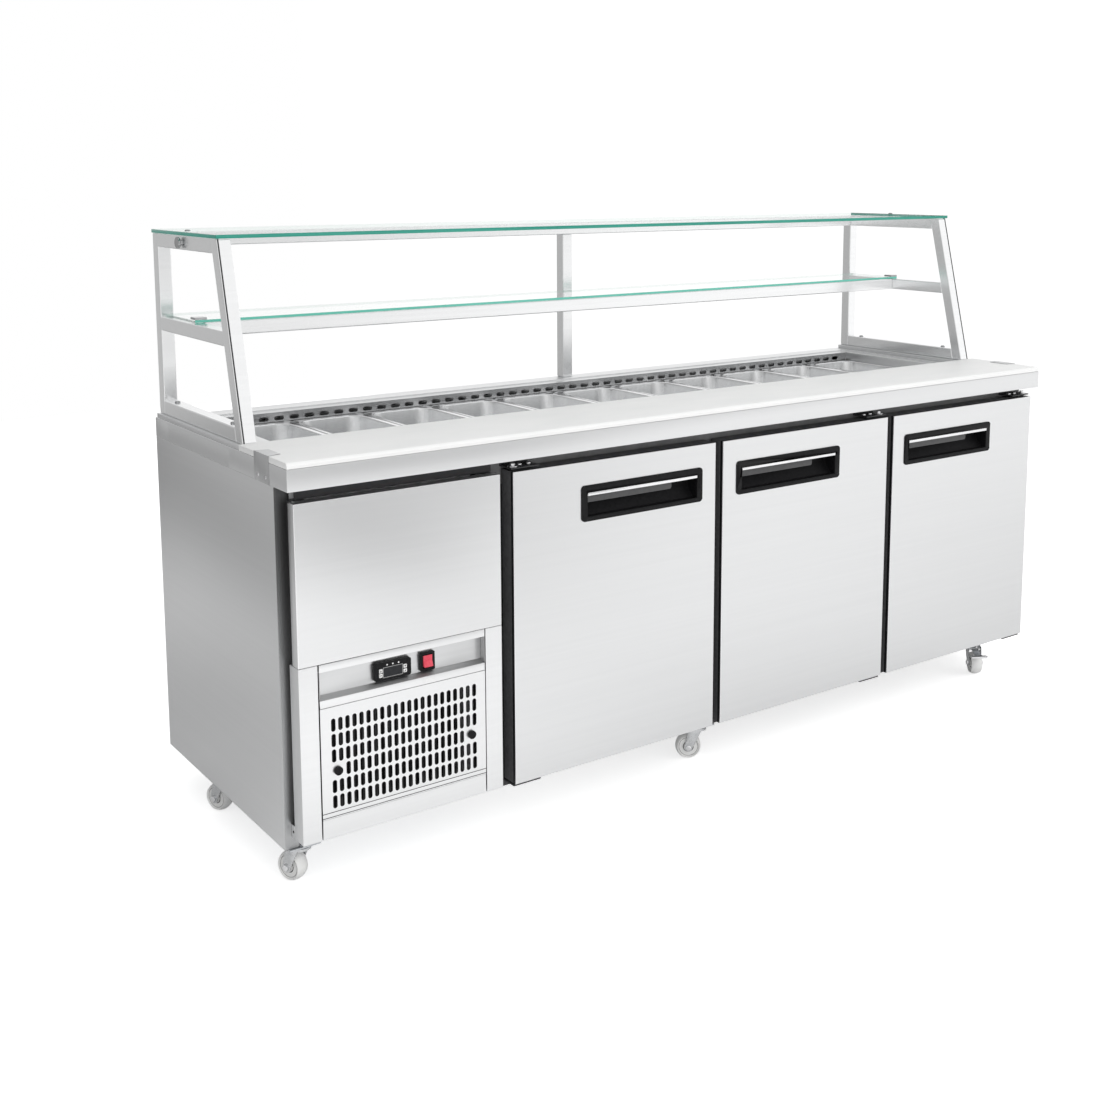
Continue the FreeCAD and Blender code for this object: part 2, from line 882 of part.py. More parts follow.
def switch_bezel():
    """Black frame and body of the power switch."""
    bezel = control_bezel(switch_x, switch_width, switch_height, switch_proud, switch_corner)
    back = recess_face + switch_body_depth
    body = control_block(switch_x, switch_body_half_x, switch_body_half_z, recess_face, back)
    cavity = control_block(switch_x, rocker_half_x + rocker_room_x, rocker_half_z + rocker_room_z,
                           recess_face - switch_proud - cut_over, back - switch_back_wall)
    pin_reach = rocker_half_x + rocker_pin_length + free_gap
    pin_hole = switch_pivot(rocker_pin_radius + running_gap, pin_reach)
    return joined([bezel, body]).cut(cavity).cut(pin_hole)


def switch_rocker():
    """Red rocker on its pivot stubs, resting with its upper half pressed in."""
    profile = [
        (-rocker_front, rocker_half_z),
        (-rocker_front + rocker_dip, 0),
        (-rocker_front, -rocker_half_z),
        (rocker_back, -rocker_back_half_z),
        (rocker_back, rocker_back_half_z),
    ]
    placed = [(rocker_pivot_y + y, controls_level + z) for y, z in profile]
    key = side_prism(placed, switch_x - rocker_half_x, switch_x + rocker_half_x)
    pins = switch_pivot(rocker_pin_radius, rocker_half_x + rocker_pin_length)
    rocker = joined([key, pins])
    rocker.rotate(Vector(switch_x, rocker_pivot_y, controls_level), X_AXIS, -rocker_tilt)
    return rocker


def handle_block(index, half_x, half_z, y0, y1):
    """Block between two depths, centred on the handle of a door."""
    middle = handle_centre(index)
    level = door_top - handle_drop
    return box(middle - half_x, middle + half_x, y0, y1, level - half_z, level + half_z)


def door_panel(index):
    """Foam-filled door with its handle pocket and hinge bores, and the gasket on its back."""
    left, right = door_edges(index)
    slab = box(left, right, door_front, door_back, door_bottom, door_top)
    cup_x = handle_width / 2 - handle_rim
    cup_z = handle_height / 2 - handle_rim
    slab = slab.cut(handle_block(index, cup_x, cup_z, door_front - cut_over, door_front + pocket_depth))
    hinge_x = door_hinge_x(index)
    bore_radius = hinge_pin_radius + running_gap
    bore_depth = hinge_pin_depth + sheet
    low_bore = (door_bottom - cut_over, door_bottom + bore_depth)
    high_bore = (door_top - bore_depth, door_top + cut_over)
    for z0, z1 in (low_bore, high_bore):
        slab = slab.cut(rod(bore_radius, (hinge_x, hinge_y, z0), (hinge_x, hinge_y, z1)))
    edge = gasket_inset
    band = gasket_inset + gasket_width
    gasket_back = carcass_front - gasket_gap
    outer = box(left + edge, right - edge, door_back, gasket_back, door_bottom + edge, door_top - edge)
    inner = box(left + band, right - band, door_back - cut_over, carcass_front,
                door_bottom + band, door_top - band)
    return group([slab, outer.cut(inner)])


def door_handle(index):
    """Recessed pull with a rim, a finger hollow and a bright strip."""
    middle = handle_centre(index)
    level = door_top - handle_drop
    half_x = handle_width / 2
    half_z = handle_height / 2
    rim_front = door_front - handle_proud
    rim_low = level - half_z
    rim_high = level + half_z
    rim = rounded_block((middle - half_x, middle + half_x, rim_front, door_front, rim_low, rim_high),
                        handle_corner, Y_AXIS)
    cup = handle_block(index, half_x - handle_rim, half_z - handle_rim, door_front, door_front + pocket_depth)
    hollow = [
        (rim_front - cut_over, grip_high),
        (door_front + grip_lip_depth, grip_high),
        (door_front + grip_throat_depth, grip_high + handle_rim),
        (door_front + grip_back_depth, grip_high + grip_back_rise),
        (door_front + pocket_depth - grip_floor, 0),
        (door_front + grip_back_depth, -grip_back_drop),
        (door_front + grip_throat_depth, grip_low),
        (rim_front - cut_over, grip_low),
    ]
    room = side_prism([(y, level + z) for y, z in hollow], middle - grip_half, middle + grip_half)
    pull = joined([rim, cup]).cut(room)
    strip_low = level + grip_high
    strip = box(middle - grip_half, middle + grip_half, rim_front - strip_proud, rim_front,
                strip_low, strip_low + strip_height)
    return group([pull, strip])


def hinge_bracket(x, inward, low_face, up):
    """Bracket with a leaf on the body, a plate and a pin; up is 1 above a door and -1 below it."""
    left, right = sorted((x - inward * hinge_plate_outer, x + inward * hinge_plate_inner))
    plate_near = low_face + up * hinge_plate_gap
    plate_far = plate_near + up * hinge_plate
    leaf_far = plate_far + up * hinge_leaf_height
    pin_tip = low_face - up * hinge_pin_depth
    plate = box(left, right, hinge_y - hinge_plate_reach, carcass_front,
                min(plate_near, plate_far), max(plate_near, plate_far))
    leaf = box(left, right, carcass_front - hinge_plate, carcass_front,
               min(plate_far, leaf_far), max(plate_far, leaf_far))
    pin = rod(hinge_pin_radius, (x, hinge_y, pin_tip), (x, hinge_y, plate_near))
    return joined([plate, leaf, pin])


def hinge_brackets():
    """Upper and lower hinge of each door."""
    brackets = []
    for index in range(door_count):
        x = door_hinge_x(index)
        inward = 1 if index == 0 else -1
        brackets.append(hinge_bracket(x, inward, door_top, 1))
        brackets.append(hinge_bracket(x, inward, door_bottom, -1))
    return group(brackets)


def worktop():
    """Worktop of four welded sections with apron and well border, the pan ledge and the gantry curbs."""
    whole = (-body_half, body_half, front, rear)
    inside = (-body_half + sheet, body_half - sheet, front + sheet, rear - sheet)
    well = (-well_half, well_half, well_front, well_rear)
    border_half = well_half + well_border
    border = (-border_half, border_half, well_front - well_border, well_rear + well_border)
    riser = (border[0] - sheet, border[1] + sheet, border[2] - sheet, border[3] + sheet)
    wall_out = (-well_half - sheet, well_half + sheet, well_front - sheet, well_rear + sheet)
    border_level = worktop_level - well_step
    apron = flat_frame(whole, inside, apron_bottom, worktop_level)
    deck = flat_frame(whole, border, worktop_level - sheet, worktop_level)
    step = flat_frame(riser, border, border_level - sheet, worktop_level)
    rim = flat_frame(riser, well, border_level - sheet, border_level)
    rear_gap = box(-well_half, well_half, well_rear - cut_over, well_rear + sheet + cut_over,
                   apron_bottom - cut_over, border_level - sheet)
    walls = flat_frame(wall_out, well, apron_bottom, border_level).cut(rear_gap)
    ledge = box(-well_half, well_half, well_front, pan_front + ledge_width / 2, ledge_top - sheet, ledge_top)
    curbs = []
    for x0 in (-body_half + curb_inset, body_half - curb_inset - curb_width):
        curbs.append(box(x0, x0 + curb_width, post_foot_front, rear, worktop_level, gantry_foot))
    folded = joined([apron, deck, step, rim, walls])
    sections = [
        (-body_half, body_half, front, well_front),
        (-body_half, body_half, well_rear, rear),
        (-body_half, -well_half, well_front, well_rear),
        (well_half, body_half, well_front, well_rear),
    ]
    welded = [folded.common(box(*section, apron_bottom, worktop_level)) for section in sections]
    return group(welded + [ledge] + curbs)


def air_duct():
    """Slotted air duct along the rear of the pans, with the rear pan ledge."""
    top = worktop_level - well_step - sheet
    count = int((2 * well_half - duct_slot_pitch) / duct_slot_pitch)
    level = (top + ledge_top) / 2
    holes = []
    for index in range(count):
        x = (index - (count - 1) / 2) * duct_slot_pitch
        holes.append(slot_outline(x, well_rear, level, duct_slot_length / 2, duct_slot_height / 2, X_AXIS))
    strip = pierced_sheet(-well_half, well_half, ledge_top - sheet, top, well_rear, well_rear + sheet, holes)
    ledge = box(-well_half, well_half, pan_rear - ledge_width / 2, well_rear, ledge_top - sheet, ledge_top)
    bottom = top - duct_height
    back = box(-well_half, well_half, rear - wall - sheet, rear - wall, bottom, top)
    floor = box(-well_half, well_half, well_rear, rear - wall - sheet, bottom, bottom + sheet)
    face = box(-well_half, well_half, well_rear, well_rear + sheet, bottom + sheet, ledge_top - sheet)
    return group([joined([strip, back, floor, face]), ledge])


def pan_centre(index):
    """Middle of a pan along the counter, counted from 0 at the left."""
    return -well_half + (index + 0.5) * pan_pitch


def pan(index):
    """Gastronorm pan with a flat rim, tapered walls and a bevelled floor."""
    middle_y = (pan_front + pan_rear) / 2
    half_x = pan_width / 2
    half_y = pan_length / 2
    base = rim_level - pan_depth

    def section(inset, corner, z):
        return rounded_outline(half_x - inset, half_y - inset, corner, Vector(pan_centre(index), middle_y, z))

    def bowl(skin, top):
        foot = pan_rim + pan_taper + skin
        wires = [
            section(pan_rim + skin, pan_corner, top),
            section(foot, pan_corner, base + pan_base_bevel + skin),
            section(foot + pan_base_bevel, pan_corner - pan_base_bevel / 2, base + skin),
        ]
        return Part.makeLoft(wires, True, True)

    rim = Part.Face(section(0, pan_rim_corner, rim_level - pan_sheet)).extrude(Vector(0, 0, pan_sheet))
    outside = bowl(0, rim_level - pan_sheet)
    inside = bowl(pan_sheet, rim_level)
    return joined([rim, outside]).cut(inside)


def pan_dividers():
    """Channel bars between neighbouring pans, hooked on the front and rear ledges."""
    bars = []
    for index in range(1, pan_count):
        x = -well_half + index * pan_pitch
        top = box(x - divider_half, x + divider_half, well_front, well_rear, ledge_top, divider_top)
        y0 = pan_front + ledge_width
        y1 = pan_rear - ledge_width
        webs = []
        for edge in (x - divider_half, x + divider_half - sheet):
            webs.append(box(edge, edge + sheet, y0, y1, divider_top - divider_depth, ledge_top))
        bars.append(joined([top] + webs))
    return group(bars)


def cutting_board():
    """Full-length board with a bevelled front edge."""
    half = body_half - free_gap
    profile = [
        (front, worktop_level + free_gap),
        (front, board_top - board_bevel),
        (front + board_bevel, board_top),
        (board_back, board_top),
        (board_back, worktop_level + free_gap),
    ]
    return side_prism(profile, -half, half)


def board_clip():
    """Left clip that folds over the end of the board, with its two screws."""
    y0 = front + clip_front
    y1 = y0 + clip_width
    outer = -body_half - clip_sheet
    flange_low = board_top + free_gap
    plate = box(outer, -body_half, y0, y1, apron_bottom, flange_low + clip_sheet)
    flange = prism([
        (outer, y0, flange_low),
        (outer + clip_reach, y0 + clip_taper, flange_low),
        (outer + clip_reach, y1 - clip_taper, flange_low),
        (outer, y1, flange_low),
    ], (0, 0, clip_sheet))
    screw_z = apron_bottom + clip_screw_level
    screws = []
    for y in (y0 + clip_screw_inset, y1 - clip_screw_inset):
        screws.append(rod(clip_screw_radius, (outer - clip_screw_head, y, screw_z), (outer, y, screw_z)))
    return [joined([plate, flange])] + screws


def board_clips():
    """Both board clips."""
    left = board_clip()
    return group(left + [mirrored(piece) for piece in left])


def post_line(z, offset):
    """Depth of the leaning front post at a level, measured from its front face."""
    return post_foot_front + (z - gantry_foot) * post_lean + offset


def leaning_post(x0, x1):
    """Hollow leaning post with a closed top."""
    low = gantry_foot
    high = gantry_top

    def outline(skin, z0, z1):
        return [
            (post_line(z0, skin), z0),
            (post_line(z0, post_width - skin), z0),
            (post_line(z1, post_width - skin), z1),
            (post_line(z1, skin), z1),
        ]

    outer = side_prism(outline(0, low, high), x0, x1)
    hollow = side_prism(outline(tube_wall, low - cut_over, high - tube_wall), x0 + tube_wall, x1 - tube_wall)
    return outer.cut(hollow)


def side_bar(x0, x1, low):
    """Hollow level bar from the leaning post to the rear post."""
    high = low + tube
    back = rear - tube
    outer = side_prism([
        (post_line(low, post_width), low),
        (back, low),
        (back, high),
        (post_line(high, post_width), high),
    ], x0, x1)
    hollow = box(x0 + tube_wall, x1 - tube_wall, post_line(low, 0), back + cut_over,
                 low + tube_wall, high - tube_wall)
    return outer.cut(hollow)


def upright_tube(x0, low, high):
    """Hollow rear post with a closed top."""
    outer = box(x0, x0 + tube, rear - tube, rear, low, high)
    hollow = box(x0 + tube_wall, x0 + tube - tube_wall, rear - tube + tube_wall, rear - tube_wall,
                 low - cut_over, high - tube_wall)
    return outer.cut(hollow)


def long_rail(y0, low):
    """Hollow rail along the counter between the two side frames."""
    outer = box(-gantry_inner, gantry_inner, y0, y0 + tube, low, low + tube)
    reach = gantry_inner + cut_over
    hollow = box(-reach, reach, y0 + tube_wall, y0 + tube - tube_wall,
                 low + tube_wall, low + tube - tube_wall)
    return outer.cut(hollow)


def left_side_fittings():
    """Bolts on the bottom bar, the glass standoff with its cap, and the shelf clip of the left side."""
    middle = -gantry_outer + tube / 2
    bolt_low = gantry_foot + tube
    fittings = []
    bolt_high = bolt_low + bolt_head_height
    for y in (post_line(bolt_low, post_width) + bolt_end_distance, rear - tube - bolt_end_distance):
        fittings.append(rod(bolt_head_radius, (middle, y, bolt_low), (middle, y, bolt_high)))
    level = gantry_top - tube / 2
    neck_end = -gantry_outer - standoff_neck_length
    neck = rod(standoff_neck, (-gantry_outer, standoff_rear, level), (neck_end, standoff_rear, level))
    disc_end = neck_end - standoff_disc
    disc = rod(standoff_radius, (neck_end, standoff_rear, level), (disc_end, standoff_rear, level))
    fittings.append(joined([neck, disc]))
    fittings.append(rod(standoff_neck, (middle, standoff_rear, glass_top), (middle, standoff_rear, height)))
    shelf_top = shelf_level + shelf_glass_thickness
    clip_x = -gantry_inner - shelf_side_overlap
    fittings.append(box(clip_x, clip_x + shelf_clip_size, shelf_front, shelf_front + shelf_clip_size,
                        shelf_top, shelf_top + shelf_clip_height))
    return fittings


def gantry_frame():
    """Welded tube frame that carries the glass, with its small fittings."""
    left = -gantry_outer
    right = -gantry_inner
    tubes = [
        leaning_post(left, right),
        upright_tube(left, gantry_foot, gantry_top),
        side_bar(left, right, gantry_foot),
        side_bar(left, right, shelf_level - tube),
        side_bar(left, right, gantry_top - tube),
    ]
    half = tubes + left_side_fittings()
    shared = [
        long_rail(rear - tube, gantry_top - tube),
        long_rail(shelf_front, shelf_level - tube),
        upright_tube(-tube / 2, worktop_level, gantry_top - tube),
    ]
    return group(half + [mirrored(piece) for piece in half] + shared)


def top_glass():
    """Upper glass shelf on top of the gantry."""
    half = body_half - glass_side_margin
    return box(-half, half, post_line(gantry_top, -top_glass_overhang), rear, gantry_top, glass_top)


def shelf_glass():
    """Lower glass shelf on the middle bars."""
    half = gantry_inner + shelf_side_overlap
    back = rear - tube - shelf_rear_gap
    return box(-half, half, shelf_front, back, shelf_level, shelf_level + shelf_glass_thickness)


def fin_grooves(start, end):
    """Both sides of each groove between the fins, spread evenly between two ends."""
    pitch = (end - start) / (coil_fins + 1)
    half = fin_groove_width / 2
    middles = [start + (index + 1) * pitch for index in range(coil_fins)]
    return [(middle - half, middle + half) for middle in middles]


def condenser_coil():
    """Finned block behind the vent grille."""
    x0 = fan_centre_x - coil_width / 2
    x1 = fan_centre_x + coil_width / 2
    top = coil_bottom + coil_height
    block = box(x0, x1, coil_front, coil_front + coil_depth, coil_bottom, top)
    cuts = []
    for near, far in fin_grooves(x0, x1):
        cuts.append(box(near, far, coil_front - cut_over, coil_front + fin_groove,
                        coil_bottom + fin_groove, top - fin_groove))
    return block.cut(group(cuts))


def condensing_unit():
    """Compressor, condenser coil, fan motor and its bracket on the machine bay floor."""
    floor = body_underside + base_sheet
    motor_front = fan_y + fan_hub_length + fan_clear
    motor_back = motor_front + motor_length
    shaft_start = (fan_centre_x, fan_y, fan_centre_z)
    motor_start = (fan_centre_x, motor_front, fan_centre_z)
    motor_end = (fan_centre_x, motor_back, fan_centre_z)
    motor = rod(motor_radius, motor_start, motor_end)
    shaft = rod(motor_shaft_radius, shaft_start, motor_start)
    bracket = box(fan_centre_x - motor_bracket_half, fan_centre_x + motor_bracket_half,
                  motor_back, motor_back + bracket_sheet, floor, fan_centre_z + motor_radius)
    x = bay_left + compressor_x
    y = rear - compressor_setback
    foot_half = compressor_radius + compressor_foot
    can_low = floor + compressor_foot
    feet = box(x - foot_half, x + foot_half, y - foot_half / 2, y + foot_half / 2, floor, can_low)
    dome_level = can_low + compressor_height - compressor_radius
    can = rod(compressor_radius, (x, y, can_low), (x, y, dome_level))
    dome = Part.makeSphere(compressor_radius, Vector(x, y, dome_level), Z_AXIS, 0, 90, 360)
    return group([condenser_coil(), joined([motor, shaft]), bracket, joined([feet, can, dome])])


def fan_rotor(radius):
    """Fan with its hub on the Z axis from 0 upwards, and blades set at a pitch."""
    hub = rod(fan_hub_radius, (0, 0, 0), (0, 0, fan_hub_length))
    blades = []
    for index in range(fan_blades):
        half = blade_chord / 2
        blade = box(fan_hub_radius / 2, radius, -half, half, -blade_thickness / 2, blade_thickness / 2)
        blade.rotate(Vector(0, 0, 0), X_AXIS, blade_pitch)
        blade = blade.common(rod(radius, (0, 0, -blade_chord), (0, 0, blade_chord)))
        blade.translate(Vector(0, 0, fan_hub_length / 2))
        blade.rotate(Vector(0, 0, 0), Z_AXIS, 360.0 / fan_blades * index)
        blades.append(blade)
    bore = rod(motor_shaft_radius + running_gap, (0, 0, -cut_over), (0, 0, fan_hub_length + cut_over))
    return joined([hub] + blades).cut(bore)


def condenser_fan():
    """Fan that draws air through the grille and the condenser."""
    rotor = fan_rotor(fan_radius)
    rotor.rotate(Vector(0, 0, 0), X_AXIS, -90)
    rotor.translate(Vector(fan_centre_x, fan_y, fan_centre_z))
    return rotor


def evaporator_coil():
    """Finned block on the bulkhead."""
    y0 = evaporator_y - evaporator_width / 2
    y1 = evaporator_y + evaporator_width / 2
    top = evaporator_bottom + evaporator_height
    block = box(bulkhead_right, evaporator_face, y0, y1, evaporator_bottom, top)
    cuts = []
    for near, far in fin_grooves(y0, y1):
        cuts.append(box(evaporator_face - fin_groove, evaporator_face + cut_over, near, far,
                        evaporator_bottom + fin_groove, top - fin_groove))
    return block.cut(group(cuts))


def evaporator():
    """Evaporator coil on the bulkhead with its fan motor on a bracket."""
    half = evaporator_width / 2
    shaft_start = (evaporator_fan_x, evaporator_y, evaporator_fan_z)
    motor_start = (evaporator_motor_x, evaporator_y, evaporator_fan_z)
    motor_end = (evaporator_motor_end, evaporator_y, evaporator_fan_z)
    motor = rod(motor_radius, motor_start, motor_end)
    shaft = rod(motor_shaft_radius, shaft_start, motor_start)
    low = evaporator_fan_z - motor_bracket_half
    high = evaporator_fan_z + motor_bracket_half
    arm = box(evaporator_motor_end, evaporator_end, evaporator_y - half, evaporator_y + half, low, high)
    legs = []
    for y0 in (evaporator_y - half, evaporator_y + half - bracket_sheet):
        legs.append(box(evaporator_face, evaporator_motor_end, y0, y0 + bracket_sheet, low, high))
    return group([evaporator_coil(), joined([motor, shaft]), joined([arm] + legs)])


def evaporator_fan():
    """Fan that moves cold air along the store."""
    rotor = fan_rotor(evaporator_fan_radius)
    rotor.rotate(Vector(0, 0, 0), Y_AXIS, 90)
    rotor.translate(Vector(evaporator_fan_x, evaporator_y, evaporator_fan_z))
    return rotor


def shelf_span(index):
    """Left and right end of the wire shelf behind a door."""
    left, right = door_edges(index)
    x0 = evaporator_end if index == 0 else left - door_gap / 2
    x1 = right_wall_inner if index == door_count - 1 else right + door_gap / 2
    return x0 + shelf_room, x1 - shelf_room


def wire_shelf(index):
    """Shelf of cross wires on two bars, with the clips on the rear wall and front frame that carry it."""
    x0, x1 = shelf_span(index)
    y0 = carcass_front + wall
    y1 = rear - wall
    bar_y = (y0 + shelf_room + shelf_clip, y1 - shelf_room - shelf_clip - shelf_bar)
    bars = [box(x0, x1, y, y + shelf_bar, shelf_height, shelf_height + shelf_bar) for y in bar_y]
    count = int((x1 - x0 - shelf_wire) / shelf_wire_pitch) + 1
    step = (x1 - x0 - shelf_wire) / (count - 1)
    wires = []
    for wire in range(count):
        x = x0 + wire * step
        wires.append(box(x, x + shelf_wire, y0 + shelf_room, y1 - shelf_room,
                         shelf_height + shelf_bar, shelf_height + shelf_bar + shelf_wire))
    last = index == door_count - 1
    spans = [(x0, x0 + shelf_clip), (x1 - shelf_clip, right_wall_inner if last else x1)]
    low = shelf_height - shelf_clip
    rear_clips = [box(left, right, bar_y[1], y1, low, shelf_height) for left, right in spans]
    front_spans = spans[1:] if index == 0 else spans
    bar_back = bar_y[0] + shelf_bar
    front_clips = [box(left, right, y0, bar_back, low, shelf_height) for left, right in front_spans]
    return [joined(bars + wires)] + rear_clips + front_clips


def wire_shelves():
    """The three shelves of the cold store."""
    pieces = []
    for index in range(door_count):
        pieces += wire_shelf(index)
    return group(pieces)


def assembly():
    """Every node of the counter by name."""
    nodes = {
        "worktop": worktop(),
        "cutting_board": cutting_board(),
        "board_clips": board_clips(),
        "air_duct": air_duct(),
        "pan_dividers": pan_dividers(),
        "gantry_frame": gantry_frame(),
        "top_glass": top_glass(),
        "shelf_glass": shelf_glass(),
        "left_side_panel": left_side_panel(),
        "insulated_shell": insulated_shell(),
        "chassis": chassis(),
        "upper_front_panel": upper_front_panel(),
        "bay_surround": bay_surround(),
        "control_panel": control_panel(),
        "vent_grille": vent_grille(),
        "controller": controller(),
        "switch_bezel": switch_bezel(),
        "switch_rocker": switch_rocker(),
        "hinge_brackets": hinge_brackets(),
        "condensing_unit": condensing_unit(),
        "condenser_fan": condenser_fan(),
        "evaporator": evaporator(),
        "evaporator_fan": evaporator_fan(),
        "wire_shelves": wire_shelves(),
    }
    for index, place in enumerate(button_places()):
        nodes[f"button_{index + 1}"] = controller_button(place)
    for index in range(pan_count):
        nodes[f"pan_{index + 1}"] = pan(index)
    for index in range(door_count):
        nodes[f"door_{index + 1}"] = door_panel(index)
        nodes[f"door_{index + 1}_handle"] = door_handle(index)
    for index, place in enumerate(caster_places()):
        braked = index + 1 in braked_casters
        fork_pieces = [fork_blank(), axle_bolt()]
        if braked:
            fork_pieces.append(pedal_pin())
            nodes[f"caster_{index + 1}_pedal"] = at_caster(brake_pedal(), place)
        nodes[f"caster_{index + 1}_fork"] = at_caster(group(fork_pieces), place)
        nodes[f"caster_{index + 1}_wheel"] = at_caster(caster_wheel(), place)
    return nodes


os.makedirs("parts", exist_ok=True)
for node_name, node_shape in assembly().items():
    node_shape.exportStep(f"parts/{node_name}.step")
    print(node_name, len(node_shape.Solids), node_shape.isValid(), node_shape.BoundBox)
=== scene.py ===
import json
import math

import bmesh
import bpy
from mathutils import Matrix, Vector


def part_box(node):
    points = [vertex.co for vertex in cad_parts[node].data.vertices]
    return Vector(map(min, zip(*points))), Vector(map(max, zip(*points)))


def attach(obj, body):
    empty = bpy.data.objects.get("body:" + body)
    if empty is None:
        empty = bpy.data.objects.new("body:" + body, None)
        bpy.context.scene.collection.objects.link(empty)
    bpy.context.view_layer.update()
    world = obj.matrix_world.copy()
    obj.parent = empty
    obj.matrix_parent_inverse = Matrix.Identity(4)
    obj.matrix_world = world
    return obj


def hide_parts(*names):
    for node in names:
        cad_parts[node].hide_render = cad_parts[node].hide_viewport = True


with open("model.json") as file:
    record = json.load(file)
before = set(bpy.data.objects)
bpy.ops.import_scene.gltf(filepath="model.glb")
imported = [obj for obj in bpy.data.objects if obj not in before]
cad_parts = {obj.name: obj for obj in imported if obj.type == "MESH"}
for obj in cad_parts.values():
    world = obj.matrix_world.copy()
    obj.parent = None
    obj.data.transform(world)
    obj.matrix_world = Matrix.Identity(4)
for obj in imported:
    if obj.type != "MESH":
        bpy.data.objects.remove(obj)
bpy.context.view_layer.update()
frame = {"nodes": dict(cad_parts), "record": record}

nodes = frame["nodes"]
scene = bpy.context.scene

# Lengths in metres: x runs to the right, y to the rear and z up from the floor
weld = 0.00001
merge_angle = math.radians(0.4)
crease = math.radians(28.0)
quarter = 0.5 * math.pi
square_on = 0.5
upward = (0, 0, 1)
rear = 0.350
worktop_level = 0.838
clip_face = 1.08901

# Pressed pans
pan_count = 11
pan_wall = 0.0015
pan_rim = 0.010
pan_lip = 0.003
pan_taper = 0.006
pan_foot = 0.014
pan_corner = 0.036
pan_rim_corner = 0.016
pan_rim_level = 0.80
corner_steps = 10

# Gantry of square tube with two glass shelves
tube = 0.030
tube_edge = 0.0028
gantry_outer = 1.077
gantry_inner = gantry_outer - tube
gantry_foot = 0.847
gantry_top = 1.243
post_front = -0.119
post_lean = 0.25
post_width = tube / math.cos(math.atan(post_lean))
seam_width = 0.0030
seam_proud = 0.0005
seam_inset = 0.0020
shelf_level = 1.062
shelf_front = 0.145
shelf_sheet = 0.006
clip_outer = 0.018
clip_inner = 0.008
clip_depth = 0.026
clip_height = 0.005
bolt_radius = 0.006
bolt_height = 0.004
bolt_inset = 0.042
glass_top = 1.251
glass_bolt_height = 0.0039
holder_depth = 0.175
holder_profile = ((0.006, 0.0), (0.006, 0.0038), (0.011, 0.004), (0.012, 0.005), (0.012, 0.009),
                  (0.011, 0.010))

# Body shell
frame_front = -0.288
frame_step = 0.001
breaker_low = 0.7
shell_back = 0.3495
shell_end = 1.0875
shell_bottom = 0.0825
chassis_post_depth = -0.286
chassis_floor = 0.09
head_low = (-1.056, -0.309, 0.7715)
head_high = (-0.630, -0.305, 0.7955)

# Machine bay front
panel_front = -0.342
bay_bottom = 0.108
bay_split = 0.457
bay_left, bay_right = -1.074, -0.628
opening_left, opening_right = -1.035, -0.667
seam_gap = 0.0022
stile_back = -0.303
stile_gap = 0.0005
rail_top = 0.148
rail_depth = 0.030
tab_top = 0.134
tab_sheet = 0.0015
ledge_level = 0.41
recess_step = 0.010
recess_sheet = 0.0012
recess_low, recess_high = 0.388, 0.4405
recess_near, recess_far = 0.0006, 0.0145
grille_top = 0.3695
slot_margin = 0.010
knob_level = 0.2414
knob_columns = (-0.999, -0.703)
knob_radius = 0.0086
trim_levels = (0.1505, 0.1595)
trim_height = 0.0012
trim_proud = 0.0004
bay_screw_depth = -0.298
bay_screw_level = 0.121
bay_screw_radius = 0.0026
bay_screw_height = 0.0012
label_left, label_right = -0.811, -0.785
label_low, label_high = 0.3745, 0.3815
label_proud = 0.0004
label_sunk = 0.0002

# Controls
key_marks = ("up", "bar", "down", "dot")
mark_share = 0.24
mark_proud = 0.00005
mark_depth = 0.0002
window_drop = 0.0025
window_half_x, window_half_z = 0.0204, 0.0094
window_near, window_far = 0.0001, 0.0006
surround_half_x, surround_half_z = 0.0206, 0.0096
surround_width = 0.0009
surround_proud = 0.0002
surround_sunk = 0.0003
lamp_step = 0.0125
lamp_rise = 0.0125
lamp_radius = 0.0016
lamp_height = 0.0003

# Doors and hinges
door_count = 3
door_depth = 0.044
door_round = 0.0014
round_steps = 4
fold = 0.0035
groove = 0.0095
pull_overlap = 0.008
flat_limit = math.radians(5.0)
gasket_proud = 0.0005
liner_sunk = 0.001
pull_strip = 0.00099
bar_left, bar_right = 0.016, 0.262
bar_below, bar_above = 0.005, 0.012
bar_round = 0.006
bar_front = 0.022
bar_depth = 0.010
bar_steps = 6
hinge_pins = ((-0.585, 1), (0.4943, -1), (1.057, -1))
hinge_depth = -0.320
bracket_top = 0.778
pivot_profile = ((0.0115, 0.0), (0.0115, 0.0022), (0.0055, 0.0030), (0.0055, 0.0065), (0.0045, 0.0075))
hinge_screw_depth = -0.312
hinge_screw_reaches = (0.022, 0.044)
hinge_screw_radius = 0.0052
hinge_screw_height = 0.0042

# Casters
caster_count = 6
wheel_half = 0.0145
wheel_dish = 0.003
groove_proud = 0.0002
hub_groove_shade = (0.0112, 0.0128)
rim_groove_shade = (0.0214, 0.0228)
fork_outer = 0.0182
axle_bolt_top = 0.04

# Grain of the surfaces
noise_low, noise_high = 0.25, 0.75
ramp_low, ramp_high = 0.3, 0.7
fine_across, fine_along = 900.0, 6.0
broad_across, broad_along = 130.0, 1.5
brush_height = 0.00005
plastic_height = 0.00005
glass_bend = 1.45

# Floor and camera
floor_radius = 5.5
floor_sheet = 0.02
floor_sides = 96
floor_plain = 0.68
floor_glow = 0.62
camera_place = (-2.10555, -2.70216, 1.37021)
camera_dip_degrees = 8.09
camera_turn_degrees = 36.18
camera_sensor = 36.0
camera_lens = 46.13
camera_shift_x, camera_shift_y = -0.04545, -0.16033


def new_material(name):
    """Empty node material with its main shader."""
    material = bpy.data.materials.new(name)
    material.use_nodes = True
    tree = material.node_tree
    return material, tree, tree.nodes["Principled BSDF"]


def set_socket(material, socket, value):
    """Set one plain value of a material's main shader."""
    material.node_tree.nodes["Principled BSDF"].inputs[socket].default_value = value


